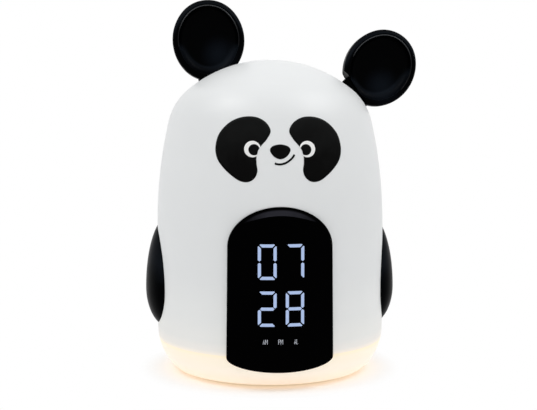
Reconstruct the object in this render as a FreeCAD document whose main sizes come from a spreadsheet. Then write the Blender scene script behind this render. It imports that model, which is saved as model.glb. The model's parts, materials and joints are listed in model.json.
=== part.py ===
import FreeCAD, Part
import math
import os

import Sketcher

os.makedirs("parts", exist_ok=True)
doc = FreeCAD.newDocument("bedside_clock")

# Frame: +Z up, the front looks along -Y, and the origin is where the centre line meets the table.

# Driving dimensions, in millimetres and degrees
SIZES = {
    # Outer form
    "body_radius": 62.5,
    "body_bottom": 2.0,
    "heel_curve": 28.0,
    "heel_top": 23.0,
    "side_start": 80.0,
    "side_curve": 250.0,
    "shoulder_curve": 31.8,
    "crown_curve": 71.0,
    "dome_top": 170.1,
    "shell_wall": 2.2,
    "ring_wall": 2.5,
    "seam_height": 17.9,
    "lip_height": 3.0,
    "part_gap": 0.2,
    "moving_gap": 0.5,
    # Underside
    "base_radius": 49.0,
    "base_plug_radius": 45.8,
    "base_bottom": 0.8,
    "base_top": 4.6,
    "foot_outer": 43.0,
    "foot_inner": 37.0,
    "foot_recess": 0.8,
    "cap_radius": 13.0,
    "cap_fit": 0.08,
    "cap_bottom": 0.9,
    "cap_top": 2.6,
    "cap_lug_reach": 1.0,
    "cap_lug_width": 5.0,
    "cap_lug_thick": 0.6,
    "coin_slot_length": 15.0,
    "coin_slot_width": 2.0,
    "coin_slot_depth": 0.9,
    "lug_room_high": 1.0,
    "cell_radius": 10.0,
    "cell_bottom": 3.0,
    "cell_thick": 3.2,
    "well_wall": 1.6,
    "well_top": 9.0,
    "contact_thick": 0.4,
    "contact_width": 4.0,
    # Night light
    "chassis_radius": 57.5,
    "chassis_bottom": 24.6,
    "chassis_thick": 2.0,
    "notch_spare": 1.0,
    "notch_behind": 4.0,
    "light_board_inner": 45.0,
    "light_board_outer": 55.0,
    "board_thick": 1.6,
    "lamp_count": 12,
    "lamp_side": 3.5,
    "lamp_high": 1.9,
    "lamp_circle": 50.0,
    "reflector_low": 43.0,
    "reflector_high": 45.5,
    "reflector_wall": 1.2,
    # Screws
    "screw_radius": 1.3,
    "screw_head_radius": 2.7,
    "screw_head_high": 1.8,
    "boss_radius": 3.4,
    "shell_boss_circle": 51.5,
    "shell_boss_top": 45.0,
    "base_post_circle": 30.0,
    "screw_length": 11.0,
    "pilot_depth": 6.6,
    "web_length": 10.4,
    "web_half": 1.0,
    # Display
    "lens_half_width": 26.2,
    "lens_bottom": 10.3,
    "lens_top": 93.0,
    "lens_arch_high": 20.0,
    "lens_foot_half_width": 26.8,
    "lens_foot_high": 7.3,
    "lens_proud": 2.1,
    "bevel_radius": 17.05,
    "bevel_drop": 4.6,
    "bevel_depth": 15.0,
    "window_half_width": 15.0,
    "window_bottom": 25.0,
    "window_top": 79.0,
    "display_plane": 50.0,
    "display_half_width": 23.0,
    "display_top": 82.0,
    "digit_wide": 9.2,
    "digit_high": 17.5,
    "digit_stroke": 1.6,
    "segment_gap": 0.25,
    "digit_offset": 6.85,
    "hour_middle": 66.1,
    "minute_middle": 42.9,
    "flag_middle": 26.6,
    "flag_wide": 2.6,
    "flag_high": 1.4,
    "flag_step": 7.6,
    "chip_side": 1.2,
    "chip_high": 0.8,
    "display_boss_across": 19.5,
    "display_boss_low": 31.0,
    "display_boss_high": 76.0,
    # Boards at the bottom and back
    "main_board_bottom": 31.0,
    "main_board_half_width": 24.0,
    "main_board_front": 24.0,
    "main_board_back": 54.0,
    "standoff_across": 20.0,
    "standoff_front": 18.0,
    "standoff_back": 40.0,
    "socket_half_width": 3.8,
    "socket_high": 2.8,
    "socket_front": 50.0,
    "socket_back": 62.0,
    "socket_skin": 0.4,
    "socket_mouth_depth": 6.0,
    "tongue_inset": 1.2,
    "tongue_low": 1.1,
    "tongue_thick": 0.6,
    "tongue_length": 5.5,
    "tongue_set_back": 1.0,
    "package_high": 1.6,
    "package_middle": 10.0,
    "processor_half": 6.0,
    "memory_across": -13.0,
    "memory_half": 3.0,
    "capacitor_radius": 3.2,
    "capacitor_high": 8.0,
    "capacitor_across": 8.0,
    "capacitor_along": 33.0,
    "capacitor_step": 4.0,
    "plug_first": -14.0,
    "plug_step": 9.0,
    "plug_half": 3.0,
    "plug_back": -15.0,
    "plug_deep": 5.0,
    "plug_high": 5.0,
    "plug_count": 4,
    # Speaker
    "speaker_radius": 18.0,
    "speaker_middle": 65.0,
    "speaker_front": 55.5,
    "speaker_depth": 10.0,
    "magnet_radius": 9.0,
    "magnet_thick": 5.5,
    "collar_wall": 2.0,
    "collar_depth": 12.0,
    "grille_hole": 1.2,
    "grille_step": 4.4,
    "speaker_skin": 1.0,
    "dust_cap_radius": 5.0,
    "dust_cap_high": 4.5,
    "cone_low": 3.4,
    "cone_skin": 0.6,
    "surround_reach": 2.2,
    # Buttons on the back
    "button_radius": 4.0,
    "button_proud": 1.2,
    "button_fit": 0.3,
    "button_flange": 5.0,
    "button_flange_plane": 53.0,
    "button_flange_thick": 1.0,
    "button_stem_radius": 2.4,
    "button_stem_end": 51.3,
    "upper_row": 105.0,
    "lower_row": 91.0,
    "upper_step": 16.0,
    "lower_step": 8.0,
    "button_board_plane": 44.4,
    "button_board_half_width": 28.8,
    "button_board_low": 85.0,
    "button_board_high": 112.0,
    "button_boss_across": 25.2,
    "key_side": 6.0,
    "key_high": 3.4,
    "key_plunger": 1.7,
    # Arms on the sides
    "arm_reach": 69.1,
    "arm_thick": 13.35,
    "arm_half_width": 23.5,
    "arm_middle": 45.0,
    "arm_up": 39.7,
    "arm_down": 22.8,
    "peg_radius": 2.5,
    "peg_low": 38.0,
    "peg_high": 60.0,
    # Ears
    "pivot_across": 23.0,
    "pivot_height": 125.2,
    "lever_length": 56.8,
    "ear_up_angle": 11.0,
    "ear_swing": 32.4,
    "ear_long": 22.0,
    "ear_short": 19.8,
    "ear_lean_back": 9.2,
    "ear_front": -1.0,
    "ear_thick": 13.0,
    "ear_split": 5.5,
    "ear_front_round": 2.7,
    "ear_back_round": 6.0,
    "ear_end_radius": 18.5,
    "bowl_long": 18.7,
    "bowl_short": 16.6,
    "bowl_depth": 5.6,
    "bowl_round": 5.3,
    "neck_half_width": 9.6,
    "neck_front": 5.4,
    "neck_back": 10.4,
    "neck_low": 31.0,
    "neck_high": 47.0,
    "lever_half_width": 5.0,
    "lever_front": 4.0,
    "lever_back": 7.5,
    "hub_radius": 6.5,
    "hub_front": 2.1,
    "hub_back": 9.9,
    "pin_radius": 2.0,
    "pin_fit": 0.05,
    "pin_head_radius": 4.0,
    "pin_head_front": 0.4,
    "pin_head_back": 1.7,
    "slot_spare": 18.2,
    "slot_outer": 50.0,
    "notch_radius": 1.2,
    "notch_sink": 6.9,
    # Bracket and switches
    "bracket_front": 10.2,
    "bracket_thick": 2.5,
    "bracket_low": 111.5,
    "bracket_shoulder": 132.5,
    "bracket_high": 154.5,
    "bracket_wide": 34.0,
    "bracket_narrow": 24.0,
    "shelf_back": 28.0,
    "shelf_thick": 2.5,
    "shelf_inset": 6.0,
    "post_across": 18.0,
    "post_back": 20.5,
    "spring_thick": 0.4,
    "spring_top": 117.5,
    "spring_half_length": 8.0,
    "spring_front": 4.5,
    "spring_back": 7.5,
    "spring_bump": 0.9,
    "switch_near": 14.0,
    "switch_far": 20.4,
    "switch_front": 3.0,
    "switch_low": 138.5,
    "switch_high": 151.3,
    "switch_key": 145.7,
    "switch_key_radius": 1.0,
    "switch_key_out": 0.4,
    # How far fused shapes run into each other, and how far cutting tools reach beyond
    "run_in": 1.0,
    "beyond": 5.0,
    "far": 200.0,
}

sheet = doc.addObject("Spreadsheet::Sheet", "dims")
for row, (alias, number) in enumerate(SIZES.items(), start=1):
    sheet.set(f"A{row}", alias)
    sheet.set(f"B{row}", str(number))
    sheet.setAlias(f"B{row}", alias)
doc.recompute()


class Size:
    """A dimension that carries its number and the spreadsheet expression behind it."""

    def __init__(self, number, text):
        self.number = number
        self.text = text

    def __add__(self, other):
        other = as_size(other)
        return Size(self.number + other.number, f"({self.text} + {other.text})")

    def __sub__(self, other):
        other = as_size(other)
        return Size(self.number - other.number, f"({self.text} - {other.text})")

    def __mul__(self, other):
        other = as_size(other)
        return Size(self.number * other.number, f"({self.text} * {other.text})")

    def __truediv__(self, other):
        other = as_size(other)
        return Size(self.number / other.number, f"({self.text} / {other.text})")

    def __neg__(self):
        return Size(-self.number, f"(-1 * {self.text})")


def as_size(value):
    return value if isinstance(value, Size) else Size(float(value), f"({value})")


def dim(alias):
    return Size(float(SIZES[alias]), f"dims.{alias}")


def sine(angle):
    return Size(math.sin(math.radians(angle.number)), f"sin({angle.text} * 1 deg)")


def cosine(angle):
    return Size(math.cos(math.radians(angle.number)), f"cos({angle.text} * 1 deg)")


# Helpers for primitives, booleans and sketches

def bind(thing, prop, value):
    thing.setExpression(prop, as_size(value).text)


def place(thing, at=(0, 0, 0), axis=None, angle=0):
    """Turn a piece about an axis and move it to a bound position."""
    if axis is not None:
        thing.Placement.Rotation = FreeCAD.Rotation(FreeCAD.Vector(*axis), angle)
    for letter, value in zip("xyz", at):
        if as_size(value).number:
            bind(thing, f"Placement.Base.{letter}", value)
    return thing


def primitive(kind, name, **sizes):
    thing = doc.addObject("Part::" + kind, name)
    for prop, value in sizes.items():
        bind(thing, prop, value)
    return thing


def block(name, across, along, up):
    """A box between pairs of limits on X, Y and Z."""
    limits = [(as_size(low), as_size(high)) for low, high in (across, along, up)]
    spans = [high - low for low, high in limits]
    thing = primitive("Box", name, Length=spans[0], Width=spans[1], Height=spans[2])
    return place(thing, [low for low, high in limits])


def rod(name, radius, at, length, along="Z"):
    """A cylinder that starts at a point and runs along +X, +Y or +Z."""
    turn = {"X": ((0, 1, 0), 90), "Y": ((1, 0, 0), -90), "Z": (None, 0)}[along]
    thing = primitive("Cylinder", name, Radius=radius, Height=length)
    return place(thing, at, *turn)


def fuse(name, things):
    joined = doc.addObject("Part::MultiFuse", name)
    joined.Shapes = list(things)
    return joined


def group(name, things):
    """Separate solids that share one node."""
    gathered = doc.addObject("Part::Compound", name)
    gathered.Links = list(things)
    return gathered


def cut(name, base, *tools):
    thing = doc.addObject("Part::Cut", name)
    thing.Base = base
    thing.Tool = tools[0] if len(tools) == 1 else fuse(name + "_tools", tools)
    return thing


def common(name, *things):
    thing = doc.addObject("Part::MultiCommon", name)
    thing.Shapes = list(things)
    return thing


def new_sketch(body, role):
    sketch = body.newObject("Sketcher::SketchObject", body.Name + "_sketch")
    plane = [item for item in body.Origin.OriginFeatures if item.Role == role][0]
    sketch.AttachmentSupport = [(plane, "")]
    sketch.MapMode = "FlatFace"
    return sketch


def pin(sketch, item, point, across, up):
    """Hold one point of a sketch at bound coordinates."""
    for kind, value, axis in (("DistanceX", across, -2), ("DistanceY", up, -1)):
        value = as_size(value)
        if abs(value.number) < 1e-9:
            sketch.addConstraint(Sketcher.Constraint("PointOnObject", item, point, axis))
        else:
            rule = Sketcher.Constraint(kind, -1, 1, item, point, value.number)
            bind(sketch, f"Constraints[{sketch.addConstraint(rule)}]", value)


def measure(sketch, kind, item, value):
    """Bind one radius of a sketch."""
    rule = Sketcher.Constraint(kind, item, as_size(value).number)
    bind(sketch, f"Constraints[{sketch.addConstraint(rule)}]", value)


def outline(sketch, corners):
    """Draw a closed outline of straight lines through bound corners."""
    spots = [FreeCAD.Vector(as_size(a).number, as_size(b).number, 0) for a, b in corners]
    lines = [
        sketch.addGeometry(Part.LineSegment(start, end))
        for start, end in zip(spots, spots[1:] + spots[:1])
    ]
    for line, following in zip(lines, lines[1:] + lines[:1]):
        sketch.addConstraint(Sketcher.Constraint("Coincident", line, 2, following, 1))
    for line, (across, up) in zip(lines, corners):
        pin(sketch, line, 1, across, up)


def revolve(body, sketch):
    feature = body.newObject("PartDesign::Revolution", body.Name + "_turn")
    feature.Profile = sketch
    feature.ReferenceAxis = (sketch, ["V_Axis"])
    feature.Angle = 360
    return feature


def turned(name, corners):
    """A body turned about its own Z axis from an outline of radius and height."""
    body = doc.addObject("PartDesign::Body", name)
    sketch = new_sketch(body, "XZ_Plane")
    outline(sketch, corners)
    revolve(body, sketch)
    return body


def pad(body, sketch, length):
    feature = body.newObject("PartDesign::Pad", body.Name + "_pad")
    feature.Profile = sketch
    bind(feature, "Length", length)
    return feature


def plate(name, corners, back, front):
    """A body padded towards the front from an outline in X and Z."""
    body = doc.addObject("PartDesign::Body", name)
    sketch = new_sketch(body, "XZ_Plane")
    outline(sketch, corners)
    bind(sketch, "AttachmentOffset.Base.z", -as_size(back))
    pad(body, sketch, as_size(back) - front)
    return body


def around(angle, radius):
    """X and Y at an angle from the +X axis, as bound sizes."""
    return dim(radius) * math.cos(math.radians(angle)), dim(radius) * math.sin(math.radians(angle))


def screw_set(name, spots, tip_up=True):
    """Screws along Z: each spot is the X, Y and Z of the face that the head rests on."""
    screws = []
    head_high = dim("screw_head_high")
    length = dim("screw_length")
    for index, (across, along, up) in enumerate(spots):
        up = as_size(up)
        head_low = up - head_high if tip_up else up
        shank_low = up if tip_up else up - length
        head = rod(f"{name}_head{index}", dim("screw_head_radius"), (across, along, head_low), head_high)
        shank = rod(f"{name}_shank{index}", dim("screw_radius"), (across, along, shank_low), length)
        screws.append(fuse(f"{name}_{index}", [head, shank]))
    return group(name, screws)


def level_screw_set(name, spots, inwards):
    """Screws along Y: the head rests on a face at Y and the tip points to +Y or -Y."""
    screws = []
    head_high = dim("screw_head_high")
    length = dim("screw_length") * 0.6
    for index, (across, along, up) in enumerate(spots):
        along = as_size(along)
        head_start = along - head_high if inwards else along
        shank_start = along if inwards else along - length
        head = rod(f"{name}_head{index}", dim("screw_head_radius"), (across, head_start, up), head_high, "Y")
        shank = rod(f"{name}_shank{index}", dim("screw_radius"), (across, shank_start, up), length, "Y")
        screws.append(fuse(f"{name}_{index}", [head, shank]))
    return group(name, screws)


# The outer form: a rounded drum that closes in a shallow dome

def circles_meet(centre_a, radius_a, centre_b, radius_b):
    """The upper meeting point of two circles."""
    across = centre_b[0] - centre_a[0]
    up = centre_b[1] - centre_a[1]
    apart = math.hypot(across, up)
    near = (apart**2 + radius_a**2 - radius_b**2) / (2 * apart)
    off = math.sqrt(radius_a**2 - near**2)
    x = centre_a[0] + (near * across - off * up) / apart
    z = centre_a[1] + (near * up + off * across) / apart
    return x, z


def arc(centre, radius, start, end):
    circle = Part.Circle(FreeCAD.Vector(*centre, 0), FreeCAD.Vector(0, 0, 1), radius)
    return Part.ArcOfCircle(circle, start, end)


def body_form(name, inset):
    """The whole outer form, drawn in by an inset, as arcs that meet tangentially."""
    inset = as_size(inset)
    less = inset.number
    radius = SIZES["body_radius"]
    heel_centre = (radius - SIZES["heel_curve"], SIZES["heel_top"])
    heel_radius = SIZES["heel_curve"] - less
    side_centre = (radius - SIZES["side_curve"], SIZES["side_start"])
    crown_centre = (0.0, SIZES["dome_top"] - SIZES["crown_curve"])
    shoulder = SIZES["shoulder_curve"]
    shoulder_centre = circles_meet(
        side_centre, SIZES["side_curve"] - shoulder, crown_centre, SIZES["crown_curve"] - shoulder
    )
    leave_side = math.atan2(shoulder_centre[1] - side_centre[1], shoulder_centre[0] - side_centre[0])
    reach_crown = math.atan2(shoulder_centre[1] - crown_centre[1], shoulder_centre[0])
    floor = SIZES["body_bottom"] + less
    wall = radius - less
    top = SIZES["dome_top"] - less
    heel_start = -math.asin((heel_centre[1] - floor) / heel_radius)
    heel_foot = heel_centre[0] + heel_radius * math.cos(heel_start)

    body = doc.addObject("PartDesign::Body", name)
    sketch = new_sketch(body, "XZ_Plane")
    vector = FreeCAD.Vector
    bottom = sketch.addGeometry(Part.LineSegment(vector(0, floor), vector(heel_foot, floor)))
    heel = sketch.addGeometry(arc(heel_centre, heel_radius, heel_start, 0))
    side = sketch.addGeometry(
        Part.LineSegment(vector(wall, heel_centre[1]), vector(wall, side_centre[1]))
    )
    taper = sketch.addGeometry(arc(side_centre, SIZES["side_curve"] - less, 0, leave_side))
    bend = sketch.addGeometry(arc(shoulder_centre, shoulder - less, leave_side, reach_crown))
    crown = sketch.addGeometry(
        arc(crown_centre, SIZES["crown_curve"] - less, reach_crown, math.pi / 2)
    )
    middle = sketch.addGeometry(Part.LineSegment(vector(0, top), vector(0, floor)))
    rules = [
        ("Coincident", bottom, 2, heel, 1),
        ("Tangent", heel, 2, side, 1),
        ("Tangent", side, 2, taper, 1),
        ("Tangent", taper, 2, bend, 1),
        ("Tangent", bend, 2, crown, 1),
        ("Coincident", crown, 2, middle, 1),
        ("Coincident", middle, 2, bottom, 1),
        ("Horizontal", bottom),
        ("Vertical", side),
        ("PointOnObject", bottom, 1, -2),
        ("PointOnObject", crown, 2, -2),
        ("PointOnObject", crown, 3, -2),
    ]
    for rule in rules:
        sketch.addConstraint(Sketcher.Constraint(*rule))
    bound = [
        (("DistanceX", -1, 1, side, 1, wall), dim("body_radius") - inset),
        (("DistanceY", -1, 1, bottom, 1, floor), dim("body_bottom") + inset),
        (("DistanceY", -1, 1, side, 1, heel_centre[1]), dim("heel_top")),
        (("DistanceY", -1, 1, side, 2, side_centre[1]), dim("side_start")),
        (("DistanceY", -1, 1, crown, 2, top), dim("dome_top") - inset),
    ]
    for rule, value in bound:
        index = sketch.addConstraint(Sketcher.Constraint(*rule))
        bind(sketch, f"Constraints[{index}]", value)
    measure(sketch, "Radius", heel, dim("heel_curve") - inset)
    measure(sketch, "Radius", taper, dim("side_curve") - inset)
    measure(sketch, "Radius", bend, dim("shoulder_curve") - inset)
    measure(sketch, "Radius", crown, dim("crown_curve") - inset)
    revolve(body, sketch)
    return body


outer_form = body_form("outer_form", 0)
inner_form = body_form("inner_form", dim("shell_wall"))
ring_inner_form = body_form("ring_inner_form", dim("ring_wall"))
lens_form = body_form("lens_form", -dim("lens_proud"))
ear_keep_out = body_form("ear_keep_out", -dim("moving_gap"))
pieces = {}
SIDES = (("left", -1), ("right", 1))


# Outer shell

BOSS_ANGLES = (45, 135, 225, 315)
GRILLE_RINGS = 3
HOLES_IN_FIRST_RING = 6


def boss_spots():
    return [around(angle, "shell_boss_circle") for angle in BOSS_ANGLES]


def button_spots():
    rows = {
        "set_button": (-dim("upper_step"), dim("upper_row")),
        "snooze_button": (as_size(0), dim("upper_row")),
        "light_button": (dim("upper_step"), dim("upper_row")),
        "down_button": (-dim("lower_step"), dim("lower_row")),
        "up_button": (dim("lower_step"), dim("lower_row")),
    }
    return rows


def button_board_spots():
    lows = (dim("button_board_low") + dim("boss_radius"), dim("button_board_high") - dim("boss_radius"))
    return [(dim("button_boss_across") * side, low) for side in (-1, 1) for low in lows]


def display_spots():
    heights = (dim("display_boss_low"), dim("display_boss_high"))
    return [(dim("display_boss_across") * side, up) for side in (-1, 1) for up in heights]


def ear_slot(side_name, side):
    """The sector that a lever's neck sweeps through the dome, about its pivot."""
    spread = dim("ear_swing") + dim("slot_spare") * 2
    pivot = (dim("pivot_across") * side, dim("neck_front") - dim("moving_gap"), dim("pivot_height"))
    depth = dim("neck_back") - dim("neck_front") + dim("moving_gap") * 2
    start = SIZES["ear_up_angle"] - SIZES["slot_spare"]
    # A cylinder along +Y starts its sector at +X and opens towards -Z.
    first = -(90 - start) if side > 0 else -(90 + start + spread.number)
    sector = primitive("Cylinder", f"{side_name}_slot", Radius=dim("slot_outer"), Height=depth, Angle=spread)
    lie_down = FreeCAD.Rotation(FreeCAD.Vector(1, 0, 0), -90)
    turn = FreeCAD.Rotation(FreeCAD.Vector(0, 1, 0), first)
    sector.Placement.Rotation = turn.multiply(lie_down)
    return place(sector, pivot)


def post_spots():
    return [(dim("post_across") * side, dim("post_back")) for _, side in SIDES]


def chassis_bosses():
    """Bosses that hang the chassis from the wall, each with a web, and their pilot holes."""
    solids, holes = [], []
    low = dim("chassis_bottom") + dim("chassis_thick")
    high = dim("shell_boss_top") - low
    half = dim("web_half")
    for index, (angle, (across, along)) in enumerate(zip(BOSS_ANGLES, boss_spots())):
        solids.append(rod(f"shell_boss{index}", dim("boss_radius"), (across, along, low), high))
        web = block(f"shell_web{index}", (0, dim("web_length")), (-half, half), (0, high))
        web.Placement.Rotation = FreeCAD.Rotation(FreeCAD.Vector(0, 0, 1), angle)
        solids.append(place(web, (across, along, low)))
        pilot = rod(f"shell_pilot{index}", dim("screw_radius"), (across, along, low), dim("screw_length"))
        holes.append(pilot)
    return solids, holes


def level_bosses(name, spots, start, length, pilot_start):
    """Level bosses that carry a board on the wall, and their pilot holes."""
    solids, holes = [], []
    for index, (across, up) in enumerate(spots):
        solids.append(rod(f"{name}_boss{index}", dim("boss_radius"), (across, start, up), length, "Y"))
        spot = (across, pilot_start, up)
        holes.append(rod(f"{name}_pilot{index}", dim("screw_radius"), spot, dim("pilot_depth"), "Y"))
    return solids, holes


def ceiling_posts():
    """Posts under the dome that carry the ear bracket, and their pilot holes."""
    solids, holes = [], []
    shelf = dim("bracket_shoulder")
    for index, (across, along) in enumerate(post_spots()):
        spot = (across, along, shelf)
        solids.append(rod(f"ceiling_post{index}", dim("boss_radius"), spot, dim("dome_top") - shelf))
        holes.append(rod(f"ceiling_pilot{index}", dim("screw_radius"), spot, dim("screw_length")))
    return solids, holes


def speaker_collar():
    depth = dim("collar_depth")
    spot = (0, dim("body_radius") - depth, dim("speaker_middle"))
    inside = rod("collar_hole", dim("speaker_radius") + dim("part_gap"), spot, depth, "Y")
    outside = rod("collar_rod", dim("speaker_radius") + dim("collar_wall"), spot, depth, "Y")
    return cut("speaker_collar", outside, inside)


def make_outer_shell():
    far = dim("far")
    above_seam = rod("above_seam", far, (0, 0, dim("seam_height")), far)
    skin = common("shell_skin", cut("shell_hollow", outer_form, inner_form), above_seam)
    wall = dim("body_radius")
    display_plane = -dim("display_plane")
    board_back = dim("button_board_plane") + dim("board_thick")
    groups = [
        chassis_bosses(),
        level_bosses(
            "display", display_spots(), -wall, wall + display_plane, display_plane - dim("pilot_depth")
        ),
        level_bosses("button", button_board_spots(), board_back, wall - board_back, board_back),
        ceiling_posts(),
    ]
    solids = [solid for group_solids, _ in groups for solid in group_solids] + [speaker_collar()]
    holes = [hole for _, group_holes in groups for hole in group_holes]
    inside = common("shell_fittings", fuse("shell_solids", solids), outer_form)
    fitted = common("shell_inside", inside, body_form("fitting_form", dim("shell_wall") / 2))
    whole = fuse("shell_whole", [skin, fitted])
    return cut("outer_shell", whole, *(holes + shell_openings()))


def grille_spots():
    """A middle hole and rings of holes around it, as across and up from the speaker's middle."""
    spots = [(as_size(0), dim("speaker_middle"))]
    for ring in range(1, GRILLE_RINGS):
        count = HOLES_IN_FIRST_RING * ring
        for step in range(count):
            turn = 2 * math.pi * step / count
            across = dim("grille_step") * (ring * math.cos(turn))
            up = dim("speaker_middle") + dim("grille_step") * (ring * math.sin(turn))
            spots.append((across, up))
    return spots


def shell_openings():
    """The display window, ear slots, button holes, socket, arm pegs and speaker grille."""
    window = dim("window_half_width")
    beyond = dim("beyond")
    wall = dim("body_radius")
    window_depth = (-wall - beyond, -dim("display_plane"))
    window_rise = (dim("window_bottom"), dim("window_top"))
    holes = [block("window", (-window, window), window_depth, window_rise)]
    for side_name, side in SIDES:
        holes.append(ear_slot(side_name, side))
        start = wall - beyond if side > 0 else -wall - beyond
        radius = dim("peg_radius") + dim("part_gap") / 2
        for name, up in (("low", dim("peg_low")), ("high", dim("peg_high"))):
            holes.append(rod(f"{side_name}_{name}_peg_hole", radius, (start, 0, up), beyond * 2, "X"))
    for name, (across, up) in button_spots().items():
        radius = dim("button_radius") + dim("button_fit")
        spot = (across, dim("speaker_front"), up)
        holes.append(rod(f"{name}_hole", radius, spot, beyond * 2, "Y"))
    half = dim("socket_half_width") + dim("part_gap")
    low = dim("main_board_bottom") + dim("board_thick") - dim("part_gap")
    high = low + dim("socket_high") + dim("part_gap") * 2
    holes.append(block("socket_hole", (-half, half), (dim("socket_front"), dim("far")), (low, high)))
    for index, (across, up) in enumerate(grille_spots()):
        spot = (across, dim("speaker_front"), up)
        holes.append(rod(f"grille{index}", dim("grille_hole"), spot, beyond * 2, "Y"))
    return holes


pieces["outer_shell"] = make_outer_shell()


# Diffuser ring, base plate, foot ring and battery cap

def make_diffuser_ring():
    seam = dim("seam_height")
    below_seam = rod("below_seam", dim("far"), (0, 0, 0), seam)
    opening = rod("ring_opening", dim("base_plug_radius") + dim("part_gap"), (0, 0, 0), dim("far"))
    skin = common("ring_skin", cut("ring_hollow", outer_form, ring_inner_form), below_seam)
    outer = dim("body_radius") - dim("shell_wall") - dim("part_gap") * 3
    inner = dim("chassis_radius") + dim("part_gap")
    low = seam - dim("lip_height") / 2
    high = seam + dim("lip_height")
    lip = turned("ring_lip", [(inner, low), (outer, low), (outer, high), (inner, high)])
    half = dim("window_half_width") + dim("beyond")
    notch = block("ring_lip_notch", (-half, half), (-dim("far"), 0), (seam, dim("far")))
    return cut("diffuser_ring", fuse("ring_whole", [skin, cut("ring_lip_open", lip, notch)]), opening)


def base_screw_spots():
    return [around(angle, "base_post_circle") for angle in (0, 90, 180, 270)]


def make_base_plate():
    bottom = dim("base_bottom")
    top = dim("base_top")
    well = dim("cell_radius") + dim("part_gap") * 4
    well_out = well + dim("well_wall")
    plug = dim("base_plug_radius")
    corners = [
        (0, bottom), (dim("base_radius"), bottom), (dim("base_radius"), dim("body_bottom")),
        (plug, dim("body_bottom")), (plug, top), (well_out, top), (well_out, dim("well_top")),
        (0, dim("well_top")),
    ]
    disc = turned("base_disc", corners)
    roof = dim("well_top") - dim("well_wall")
    lug_room = dim("cap_radius") + dim("cap_lug_reach") + dim("part_gap")
    mouth = dim("cap_radius") + dim("cap_fit")
    step = dim("cap_top") + dim("part_gap")
    ledge = step - dim("lug_room_high")
    well_corners = [
        (0, 0), (mouth, 0), (mouth, ledge), (lug_room, ledge), (lug_room, step), (well, step),
        (well, roof), (0, roof),
    ]
    tools = [turned("battery_well", well_corners)]
    half = dim("cap_lug_width") / 2 + dim("part_gap")
    tools.append(block("lug_entry", (-half, half), (-lug_room, lug_room), (0, step)))
    recess_top = bottom + dim("foot_recess")
    foot = [
        (dim("foot_inner"), 0), (dim("foot_outer"), 0),
        (dim("foot_outer"), recess_top), (dim("foot_inner"), recess_top),
    ]
    tools.append(turned("foot_recess_ring", foot))
    for index, (across, along) in enumerate(base_screw_spots()):
        spot = (across, along, 0)
        tools.append(rod(f"base_sink{index}", dim("screw_head_radius") + dim("part_gap"), spot, step))
        tools.append(rod(f"base_clear{index}", dim("screw_radius") + dim("part_gap"), spot, dim("far")))
    return cut("base_plate", disc, *tools)


def make_foot_ring():
    top = dim("base_bottom") + dim("foot_recess")
    corners = [
        (dim("foot_inner"), 0), (dim("foot_outer"), 0), (dim("foot_outer"), top), (dim("foot_inner"), top),
    ]
    return turned("foot_ring", corners)


def make_battery_cap():
    radius = dim("cap_radius")
    low = dim("cap_bottom")
    high = dim("cap_top")
    disc = rod("cap_disc", radius, (0, 0, low), high - low)
    half = dim("cap_lug_width") / 2
    reach = radius + dim("cap_lug_reach")
    lugs = block("cap_lugs", (-reach, reach), (-half, half), (high - dim("cap_lug_thick"), high))
    slot = block(
        "coin_slot",
        (dim("coin_slot_length") * -0.5, dim("coin_slot_length") / 2),
        (dim("coin_slot_width") * -0.5, dim("coin_slot_width") / 2),
        (0, low + dim("coin_slot_depth")),
    )
    return cut("battery_cap", fuse("cap_whole", [disc, lugs]), slot)


pieces["diffuser_ring"] = make_diffuser_ring()
pieces["base_plate"] = make_base_plate()
pieces["foot_ring"] = make_foot_ring()
pieces["battery_cap"] = make_battery_cap()
pieces["coin_cell"] = rod("coin_cell", dim("cell_radius"), (0, 0, dim("cell_bottom")), dim("cell_thick"))


def make_battery_contacts():
    low = dim("cell_bottom") + dim("cell_thick")
    thick = dim("contact_thick")
    half = dim("contact_width") / 2
    reach = dim("cell_radius")
    leaf = block("contact_leaf", (-reach, 0), (-half, half), (low, low + thick))
    edge = dim("cell_radius") + dim("part_gap") / 2
    clip = block("contact_clip", (edge, edge + thick), (-half, half), (dim("cell_bottom"), low + thick))
    return group("battery_contacts", [leaf, clip])


pieces["battery_contacts"] = make_battery_contacts()


# Chassis, night light and main board

def front_notch(name, low, high):
    """Room at the front for the display board."""
    half = dim("display_half_width") + dim("notch_spare")
    back = dim("notch_behind") - dim("display_plane")
    return block(name, (-half, half), (-dim("far"), back), (low, high))


def standoff_spots():
    return [
        (dim("standoff_across") * side, along)
        for side in (-1, 1)
        for along in (-dim("standoff_front"), dim("standoff_back"))
    ]


def make_chassis():
    low = dim("chassis_bottom")
    top = low + dim("chassis_thick")
    run_in = dim("run_in")
    disc = rod("chassis_disc", dim("chassis_radius"), (0, 0, low), dim("chassis_thick"))
    solids = [cut("chassis_notched", disc, front_notch("chassis_notch", 0, dim("far")))]
    holes = []
    for index, (across, along) in enumerate(base_screw_spots()):
        spot = (across, along, dim("base_top"))
        solids.append(rod(f"base_post{index}", dim("boss_radius"), spot, low - dim("base_top") + run_in))
        holes.append(rod(f"base_pilot{index}", dim("screw_radius"), spot, dim("screw_length")))
    for index, (across, along) in enumerate(standoff_spots()):
        spot = (across, along, top - run_in)
        length = dim("main_board_bottom") - top + run_in
        solids.append(rod(f"standoff{index}", dim("boss_radius"), spot, length))
        holes.append(rod(f"standoff_pilot{index}", dim("screw_radius"), spot, length))
    clear = dim("screw_radius") + dim("part_gap")
    for index, (across, along) in enumerate(boss_spots()):
        holes.append(rod(f"chassis_clear{index}", clear, (across, along, 0), dim("far")))
    return cut("chassis", fuse("chassis_whole", solids), *holes)


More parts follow.
